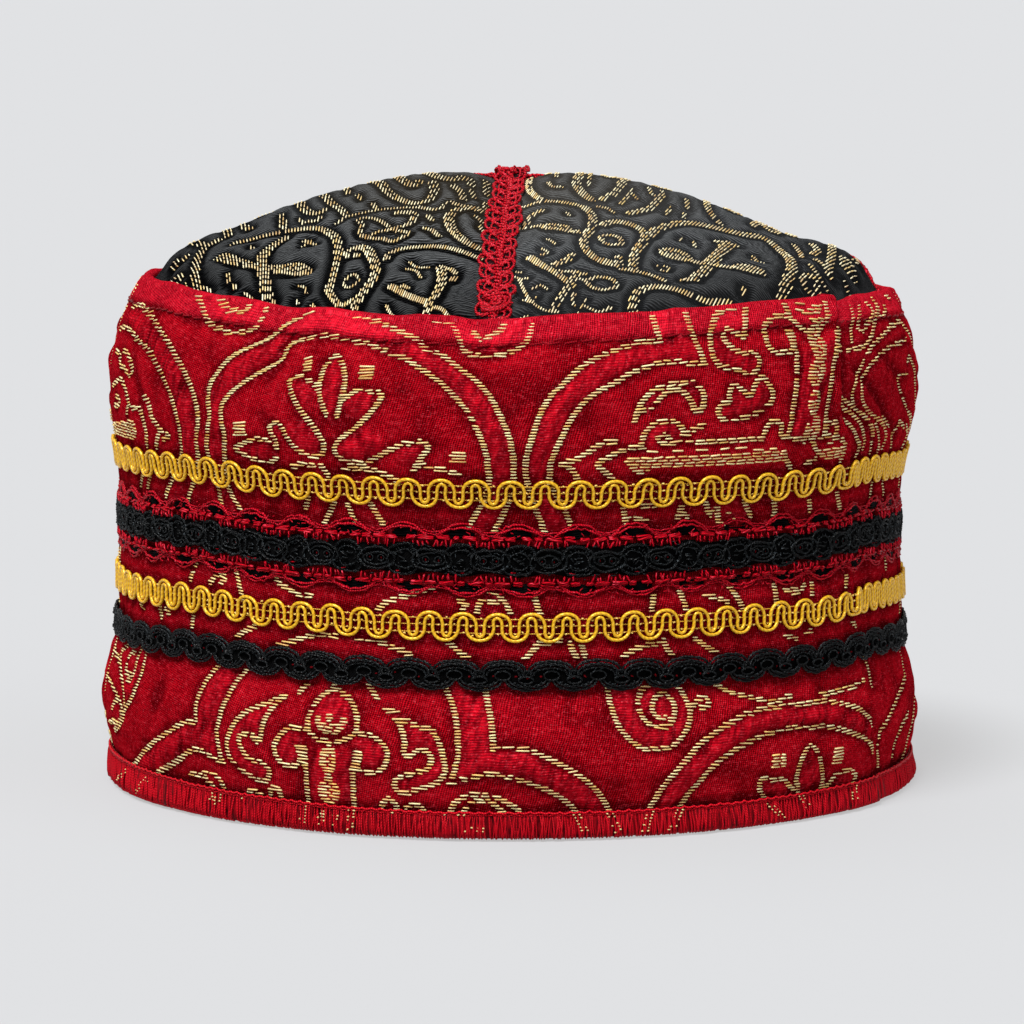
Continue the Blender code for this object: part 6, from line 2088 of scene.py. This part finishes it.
class Stuff:
    """A material being wired."""

    def __init__(self, name):
        self.mat = bpy.data.materials.new(name)
        self.mat.use_nodes = True
        self.tree = self.mat.node_tree
        self.tree.nodes.clear()
        self.out = self.tree.nodes.new("ShaderNodeOutputMaterial")
        self.shader = self.tree.nodes.new("ShaderNodeBsdfPrincipled")
        self.tree.links.new(self.shader.outputs[0], self.out.inputs[0])

    def link(self, value, socket):
        if isinstance(value, (int, float, tuple)):
            socket.default_value = value
        else:
            self.tree.links.new(value, socket)

    def cloth(self):
        n = self.tree.nodes.new("ShaderNodeUVMap")
        n.uv_map = "Cloth"
        s = self.tree.nodes.new("ShaderNodeSeparateXYZ")
        self.tree.links.new(n.outputs[0], s.inputs[0])
        return (self.math("MULTIPLY", s.outputs[0], 10.0),
                self.math("MULTIPLY", s.outputs[1], 10.0))

    def attr(self, name):
        n = self.tree.nodes.new("ShaderNodeAttribute")
        n.attribute_name = name
        return n.outputs["Fac"]

    def math(self, op, a, b=0.0, c=0.0, clamp=False):
        n = self.tree.nodes.new("ShaderNodeMath")
        n.operation = op
        n.use_clamp = clamp
        self.link(a, n.inputs[0])
        self.link(b, n.inputs[1])
        self.link(c, n.inputs[2])
        return n.outputs[0]

    def total(self, *terms):
        out = terms[0]
        for t in terms[1:]:
            out = self.math("ADD", out, t)
        return out

    def wave(self, run, pitch, phase=0.0):
        """0..1, repeating every pitch of run."""
        a = self.math("MULTIPLY_ADD", run, 2 * math.pi / pitch, phase)
        return self.math("MULTIPLY_ADD", self.math("SINE", a), 0.5, 0.5)

    def noise(self, u, v, size_u, size_v, seed=0.0, detail=2.0):
        c = self.tree.nodes.new("ShaderNodeCombineXYZ")
        self.link(self.math("MULTIPLY", u, 1.0 / size_u), c.inputs[0])
        self.link(self.math("MULTIPLY", v, 1.0 / size_v), c.inputs[1])
        c.inputs[2].default_value = seed
        n = self.tree.nodes.new("ShaderNodeTexNoise")
        n.inputs["Scale"].default_value = 1.0
        n.inputs["Detail"].default_value = detail
        self.tree.links.new(c.outputs[0], n.inputs["Vector"])
        return n.outputs[0]

    def mix(self, share, a, b):
        n = self.tree.nodes.new("ShaderNodeMix")
        n.data_type = "RGBA"
        self.link(share, n.inputs[0])
        self.link(a, n.inputs[6])
        self.link(b, n.inputs[7])
        return n.outputs[2]

    def ramp(self, value, lo, hi):
        n = self.tree.nodes.new("ShaderNodeMapRange")
        n.inputs["From Min"].default_value = lo
        n.inputs["From Max"].default_value = hi
        self.link(value, n.inputs["Value"])
        return n.outputs[0]

    def bump(self, height, strength=1.0, distance=0.0002):
        n = self.tree.nodes.new("ShaderNodeBump")
        n.inputs["Strength"].default_value = strength
        n.inputs["Distance"].default_value = distance
        self.link(height, n.inputs["Height"])
        self.tree.links.new(n.outputs[0], self.shader.inputs["Normal"])
        return self

    def set(self, **values):
        for key, value in values.items():
            key = key.replace("_", " ")
            self.link(value, self.shader.inputs[key])
        return self


def make_red_cloth():
    s = Stuff("red_brocade_cloth")
    u, v = s.cloth()
    fig, gold = s.attr("figure"), s.attr("gold")
    warp = s.noise(u, v, 5.0, 7.0, 21.0, 2.0)
    # ground: close upright ribs, beaded by the weft
    lean = s.math("MULTIPLY_ADD", v, -0.24, u)
    lean = s.math("MULTIPLY_ADD", warp, 1.6, lean)
    ribs = s.wave(lean, 0.56)
    beads = s.wave(s.math("MULTIPLY_ADD", u, 0.18, v), 0.46)
    speck = s.noise(u, v, 0.42, 0.36, 4.0, 2.0)
    thread = s.math("MULTIPLY_ADD", ribs, 0.58, s.math(
        "MULTIPLY_ADD", beads, 0.22, s.math("MULTIPLY", speck, 0.70)))
    ground = s.mix(s.ramp(thread, 0.38, 1.04), srgb(76, 0, 4),
                   srgb(206, 13, 31))
    # figures: long floats of weft, drawn into puckers; their tone is a painted sheen of the satin with the painted
    # light and shade of the puckers
    level = s.math("MULTIPLY_ADD", warp, 1.3, v)
    rows = s.wave(level, 0.62)
    satin = s.noise(u, v, 3.2, 0.34, 1.0, 3.0)
    pucker_light_and_shade = s.noise(s.math("MULTIPLY_ADD", v, -0.3, u), v, 1.45, 5.5, 13.0,
                   2.0)
    sheen = s.math("MULTIPLY_ADD", rows, 0.20, s.math(
        "MULTIPLY_ADD", satin, 0.38, s.math(
            "MULTIPLY", s.ramp(pucker_light_and_shade, 0.38, 0.60), 0.52)))
    figure = s.mix(s.ramp(sheen, 0.22, 0.92), srgb(64, 0, 3),
                   srgb(184, 11, 29))
    cloth = s.mix(fig, ground, figure)
    # painted shade beside the gold floats
    cloth = s.mix(s.math("MULTIPLY", gold, 0.60), cloth, srgb(70, 0, 3))
    # painted shade in the relief's hollows
    cloth = s.mix(s.math("MULTIPLY", s.attr("painted_hollow_shade"), 0.62), cloth,
                  srgb(64, 0, 4))
    # painted highlight on the relief's ridges
    cloth = s.mix(s.math("MULTIPLY", s.attr("painted_ridge_highlight"), 0.22), cloth,
                  srgb(222, 24, 42))
    # painted shade beside the trims, under the rim's stitching and under the lap
    cloth = s.mix(s.attr("painted_shade"), cloth, srgb(56, 0, 4))
    # the folded edge is fuller cloth; its lighter tone is a painted highlight, where it faces up and catches the light
    fold_highlight = s.math("MULTIPLY", s.ramp(v, 111.9, 113.2), s.math(
        "MULTIPLY_ADD", s.ramp(thread, 0.45, 0.85), 0.66, 0.09))
    cloth = s.mix(fold_highlight, cloth, srgb(218, 28, 50))
    big = s.noise(u, v, 13.0, 9.0, 7.0, 2.0)
    cloth = s.mix(s.math("MULTIPLY", s.ramp(big, 0.62, 0.30), 0.24), cloth,
                  srgb(70, 0, 6))
    # painted shade and painted highlight of small crinkles all over the cloth
    crinkle_light_and_shade = s.noise(u, v, 1.5, 0.95, 17.0, 3.0)
    cloth = s.mix(s.math("MULTIPLY", s.ramp(crinkle_light_and_shade, 0.50, 0.34), 0.42),
                  cloth, srgb(84, 0, 5))
    cloth = s.mix(s.math("MULTIPLY", s.ramp(crinkle_light_and_shade, 0.56, 0.76), 0.42),
                  cloth, srgb(234, 60, 76))
    # pale pink specks: painted glints all over the cloth
    pale_glint = s.ramp(s.noise(u, v, 0.62, 0.34, 11.0, 1.0), 0.62, 0.78)
    cloth = s.mix(s.math("MULTIPLY", pale_glint, 0.48), cloth, srgb(234, 92, 106))
    height = s.math("ADD", s.math("MULTIPLY", s.math(
        "SUBTRACT", 1.0, fig), thread), s.math("MULTIPLY", fig, sheen))
    s.set(Base_Color=cloth, Roughness=0.46,
          Metallic=s.math("MULTIPLY_ADD", fig, 0.08, 0.10))
    s.shader.inputs["Specular IOR Level"].default_value = 0.0
    s.shader.inputs["Specular Tint"].default_value = (1.0, 0.12, 0.15, 1.0)
    s.bump(height, 1.0, 0.0004)
    return s.mat


def make_black_cloth():
    s = Stuff("black_brocade_cloth")
    x, y = s.cloth()
    panel = s.attr("panel")
    lean = math.radians(18.0)
    q_r = s.math("MULTIPLY_ADD", x, math.cos(lean),
                 s.math("MULTIPLY", y, -math.sin(lean)))
    p_r = s.math("MULTIPLY_ADD", x, math.sin(lean),
                 s.math("MULTIPLY", y, math.cos(lean)))
    other = s.math("SUBTRACT", 1.0, panel)
    q = s.math("ADD", s.math("MULTIPLY", q_r, panel),
               s.math("MULTIPLY", x, other))
    p = s.math("ADD", s.math("MULTIPLY", p_r, panel),
               s.math("MULTIPLY", y, other))
    warp = s.noise(x, y, 11.0, 11.0, 9.0, 1.0)
    flow = s.math("MULTIPLY_ADD", warp, 1.1, p)
    ribs = s.wave(flow, 0.62)
    fine = s.noise(s.math("MULTIPLY_ADD", warp, 1.5, q), flow, 1.5, 0.36,
                   2.0, 2.0)
    thread = s.math("MULTIPLY_ADD", ribs, 0.46,
                    s.math("MULTIPLY", fine, 0.74))
    big = s.noise(x, y, 9.0, 7.0, 5.0, 2.0)
    # ribs of the weave, near black, with a painted sheen of the satin on their light side
    cloth = s.mix(s.ramp(thread, 0.50, 0.92), srgb(4, 4, 4),
                  srgb(106, 108, 110))
    cloth = s.mix(s.math("MULTIPLY", s.ramp(big, 0.45, 0.72), 0.07), cloth,
                  srgb(64, 68, 73))
    # painted highlight on the relief's ridges
    cloth = s.mix(s.math("MULTIPLY", s.attr("painted_ridge_highlight"), 0.30), cloth,
                  srgb(96, 98, 98))
    # painted shade in the relief's hollows
    cloth = s.mix(s.math("MULTIPLY", s.attr("painted_hollow_shade"), 0.80), cloth,
                  srgb(1, 1, 1))
    # painted shade beside the gold floats
    cloth = s.mix(s.math("MULTIPLY", s.attr("gold"), 0.88), cloth,
                  srgb(1, 1, 1))
    # the panels are cut with the nap lying two ways; the turned ones get a painted sheen, lighter
    cloth = s.mix(s.math("MULTIPLY", panel, 0.15), cloth, srgb(92, 94, 96))
    # painted shade in the lee of the rim all round, and a warm painted light on top
    out = s.math("MULTIPLY_ADD", x, x, s.math("MULTIPLY", y, y))
    cloth = s.mix(s.math("MULTIPLY", s.ramp(out, 2800.0, 500.0), 0.18),
                  cloth, srgb(82, 72, 54))
    cloth = s.mix(s.math("MULTIPLY", s.ramp(out, 2600.0, 7000.0), 0.66),
                  cloth, srgb(3, 3, 4))
    s.set(Base_Color=cloth, Roughness=0.60)
    s.shader.inputs["Specular IOR Level"].default_value = 0.0
    s.bump(thread, 1.0, 0.0007)
    return s.mat


def make_gold_floats(name, dull, bright, dark):
    s = Stuff(name)
    u, v = s.cloth()
    strand = s.attr("strand")
    fine = s.noise(u, v, 0.5, 0.14, 3.0, 2.0)
    colour = s.mix(s.ramp(strand, 0.0, 0.6), dull, bright)
    colour = s.mix(s.ramp(fine, 0.60, 0.24), colour, dark)
    s.set(Base_Color=colour, Roughness=0.32, Metallic=0.12)
    s.shader.inputs["Specular IOR Level"].default_value = 0.5
    s.shader.inputs["Specular Tint"].default_value = (1.0, 0.86, 0.56, 1.0)
    s.bump(s.total(s.wave(v, 0.17), s.math("MULTIPLY", fine, 0.8)), 0.4,
           0.00006)
    return s.mat


def make_cord(name, dark, light, pitch, plies, rough, metal=0.0, deep=0.0002,
              specular=0.5, sheen=0.0, tint=(1.0, 1.0, 1.0, 1.0), share=0.6,
              glint=None, tinted=None):
    """Thread laid up from plies; u runs along it, v once round."""
    s = Stuff(name)
    u, v = s.cloth()
    phase = s.math("MULTIPLY_ADD", v, plies * 2 * math.pi,
                   s.math("MULTIPLY", u, 2 * math.pi / pitch))
    ply = s.math("MULTIPLY_ADD", s.math("SINE", phase), 0.5, 0.5)
    fibre = s.noise(s.math("MULTIPLY_ADD", u, 1.0, v), v, 0.40, 0.10, 2.0, 2.0)
    mixin = s.math("MULTIPLY_ADD", ply, share,
                   s.math("MULTIPLY", fibre, 1.1 - share))
    colour = s.mix(s.ramp(mixin, 0.15, 0.85), dark, light)
    if glint:
        spot = s.noise(u, v, 0.75, 0.22, 8.0, 1.0)
        colour = s.mix(s.math("MULTIPLY", s.ramp(spot, 0.62, 0.70), 0.8),
                       colour, glint)
    s.set(Base_Color=colour, Roughness=rough, Metallic=metal)
    s.shader.inputs["Specular IOR Level"].default_value = specular
    if tinted:
        s.shader.inputs["Specular Tint"].default_value = tinted
    if sheen:
        s.shader.inputs["Sheen Weight"].default_value = sheen
        s.shader.inputs["Sheen Roughness"].default_value = 0.5
        s.shader.inputs["Sheen Tint"].default_value = tint
    s.bump(s.math("MULTIPLY_ADD", ply, share * 1.6,
                  s.math("MULTIPLY", fibre, 0.4)), 0.8, deep)
    return s.mat


PINK = (1.0, 0.26, 0.32, 1.0)
RED_CLOTH = make_red_cloth()
BLACK_CLOTH = make_black_cloth()
GOLD_FLOATS = make_gold_floats("gold_floats", srgb(255, 220, 132),
                               srgb(255, 246, 188), srgb(214, 150, 68))
CROWN_FLOATS = make_gold_floats("crown_gold_floats", srgb(241, 212, 142),
                                srgb(255, 247, 208), srgb(176, 130, 70))
GOLD_CORD = make_cord("gold_gimp_cord", srgb(198, 132, 4), srgb(248, 200, 34),
                      1.1, 2, 0.32, 0.22, 0.00008, 0.5, share=0.35)
GOLD_THREAD = make_cord("gold_gimp_thread", srgb(150, 92, 8),
                        srgb(240, 190, 60), 0.5, 2, 0.40, 0.2, 0.00008, 0.5)
GIMP_DARK_BAND = make_cord("gimp_dark_band", srgb(16, 0, 1), srgb(96, 26, 4), 0.7,
                        2, 0.6, 0.0, 0.0002, 0.05)
GOLD_BEAD = make_cord("gold_gimp_bead", srgb(240, 170, 60),
                      srgb(255, 236, 140), 0.5, 2, 0.32, 0.15, 0.00005, 0.5)
# red in shade: a painted shade of the red, for red seen deep in gaps
RED_IN_SHADE = make_cord("red_in_shade", srgb(58, 2, 8), srgb(120, 8, 16), 0.7,
                     2, 0.6, 0.0, 0.0001, 0.05)
BLACK_NET = make_cord("black_gimp_net", srgb(0, 0, 0), srgb(5, 5, 6), 0.8,
                      3, 0.6, 0.0, 0.0002, 0.03)
BLACK_CORD = make_cord("black_gimp_cord", srgb(1, 1, 1), srgb(18, 21, 23),
                       0.8, 2, 0.36, 0.0, 0.00012, 0.20,
                       glint=srgb(84, 94, 100))
CROCHET = make_cord("red_crochet_thread", srgb(80, 0, 5),
                    srgb(204, 6, 30), 0.75, 2, 0.38, 0.0, 0.00016, 0.24,
                    tinted=PINK, glint=srgb(244, 72, 94))
# the ribbon under the braid, dark for painted shade in its holes
CROCHET_SHADE_RIBBON = make_cord("red_crochet_painted_shade", srgb(8, 0, 1),
                         srgb(50, 0, 7), 0.8, 2, 0.6, 0.0, 0.0002, 0.1)
LACE_THREAD = make_cord("red_lace_thread", srgb(104, 0, 9),
                        srgb(214, 8, 36), 0.6, 2, 0.42, 0.0, 0.00012, 0.32,
                        tinted=PINK, glint=srgb(244, 84, 104))
HEM_THREAD = make_cord("red_overlock_thread", srgb(136, 0, 8),
                       srgb(220, 16, 36), 0.6, 2, 0.45, 0.0, 0.00010, 0.30,
                       tinted=PINK)
STITCH = make_cord("rim_stitch_thread", srgb(84, 0, 6), srgb(150, 4, 22),
                   0.6, 2, 0.5, 0.0, 0.0001, 0.2, tinted=PINK)
GOLD_SPECK = make_cord("gold_speck", srgb(220, 180, 90), srgb(255, 240, 180),
                       0.4, 2, 0.4, 0.3, 0.00005, 0.5)


def make_hem_base():
    s = Stuff("red_hem_cloth")
    u, v = s.cloth()
    strand = s.noise(u, v, 0.5, 3.2, 2.0, 2.0)
    fine = s.noise(u, v, 0.25, 1.0, 5.0, 2.0)
    c = s.mix(s.ramp(strand, 0.35, 0.7), srgb(44, 0, 3), srgb(158, 4, 18))
    s.set(Base_Color=c, Roughness=0.55)
    s.shader.inputs["Specular IOR Level"].default_value = 0.14
    s.shader.inputs["Specular Tint"].default_value = (1.0, 0.35, 0.4, 1.0)
    s.bump(s.total(strand, s.math("MULTIPLY", fine, 0.5)), 1.0, 0.0004)
    return s.mat


HEM_BASE = make_hem_base()

# ------------------------------------------------------------------ building
band = build_band(RED_CLOTH)
band_gold = build_band_floats(GOLD_FLOATS)
crown = build_crown(BLACK_CLOTH)
crown_gold = build_crown_floats(CROWN_FLOATS)
gimp_high = build_gold_gimp("gold_gimp_high", "gold_gimp_upper", 76.9, 93.0,
                            0.39, 31, [GOLD_CORD, GOLD_THREAD, GIMP_DARK_BAND,
                             GOLD_BEAD])
gimp_low = build_gold_gimp("gold_gimp_low", "gold_gimp_lower", 47.4, 97.5,
                           0.36, 51, [GOLD_CORD, GOLD_THREAD, GIMP_DARK_BAND,
                             GOLD_BEAD])
black_wide = build_black_middle([BLACK_NET, BLACK_CORD, RED_IN_SHADE, CROCHET])
black_low = build_black_lower([BLACK_NET, BLACK_CORD, RED_IN_SHADE])
lace = build_lace([LACE_THREAD, CROCHET, BLACK_NET])
braid_front = build_braid("braid_front", "braid_front_back", False,
                          [CROCHET, CROCHET_SHADE_RIBBON], 91)
braid_side = build_braid("braid_side", "braid_side_to_side", True,
                         [CROCHET, CROCHET_SHADE_RIBBON], 92)
hem, hem_threads = build_hem([HEM_BASE, HEM_THREAD, GOLD_SPECK])
stitch = build_rim_stitch(STITCH)

total = 0
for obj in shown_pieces():
    if obj.type == "MESH":
        n = sum(len(p.vertices) - 2 for p in obj.data.polygons)
        total += n
        print("piece", obj.name, n)
print("triangles", total)

# ------------------------------------------------------------ floor and light
def build_floor():
    mesh = bpy.data.meshes.new("floor")
    n, r = 48, 70.0
    a = np.arange(n) * 2 * math.pi / n
    mesh.from_pydata([(r * math.cos(t), r * math.sin(t), -0.0003) for t in a],
                     [], [tuple(range(n))])
    s = Stuff("floor_paper")
    s.set(Base_Color=FLOOR_TONE, Roughness=0.9, Emission_Color=(1, 1, 1, 1))
    s.shader.inputs["Emission Strength"].default_value = FLOOR_OWN
    s.shader.inputs["Specular IOR Level"].default_value = 0.0
    mesh.materials.append(s.mat)
    obj = bpy.data.objects.new("floor", mesh)
    scene.collection.objects.link(obj)


# The floor comes to the same tone as the backdrop all round it.
BACKDROP = (0.752, 0.760, 0.776)
SKY = 0.30                            # what the sky gives, a soft studio
SUN_HIGH = 5.05                       # what the suns give a level floor
FLOOR_OWN = 0.47
FLOOR_TONE = tuple((c - FLOOR_OWN) / (SKY + SUN_HIGH / math.pi)
                   for c in BACKDROP) + (1.0,)
build_floor()

world = bpy.data.worlds.new("studio")
scene.world = world
world.use_nodes = True
tree = world.node_tree
back = tree.nodes["Background"]
back.inputs[0].default_value = (SKY, SKY, SKY * 1.01, 1.0)
seen = tree.nodes.new("ShaderNodeBackground")
seen.inputs[0].default_value = (*BACKDROP, 1.0)
ray = tree.nodes.new("ShaderNodeLightPath")
either = tree.nodes.new("ShaderNodeMixShader")
tree.links.new(ray.outputs["Is Camera Ray"], either.inputs[0])
tree.links.new(back.outputs[0], either.inputs[1])
tree.links.new(seen.outputs[0], either.inputs[2])
tree.links.new(either.outputs[0], tree.nodes["World Output"].inputs[0])


def sun(name, azimuth, elevation, level, angle, tint=(1.0, 1.0, 1.0)):
    """level is the light it throws on a level floor."""
    data = bpy.data.lights.new(name, "SUN")
    data.energy = level / math.sin(math.radians(elevation))
    data.angle = math.radians(angle)
    data.color = tint
    obj = bpy.data.objects.new(name, data)
    a, e = math.radians(azimuth), math.radians(elevation)
    source = Vector((math.sin(a) * math.cos(e), -math.cos(a) * math.cos(e),
                     math.sin(e)))
    obj.rotation_euler = (-source).to_track_quat("-Z", "Y").to_euler()
    scene.collection.objects.link(obj)


sun("key", -26, 62, 3.55, 20)
sun("fill", 52, 56, 0.70, 60)
sun("back", -148, 62, 0.80, 50)

camera_data = bpy.data.cameras.new("camera")
camera_data.lens = 176.7
camera_data.sensor_width = 36.0
camera_data.clip_start, camera_data.clip_end = 0.05, 400.0
camera = bpy.data.objects.new("camera", camera_data)
camera.location = (0.06228, -1.18837, 0.1975)
camera.rotation_euler = (math.radians(90.0 - 6.49), 0.0, math.radians(3.0))
scene.collection.objects.link(camera)
scene.camera = camera
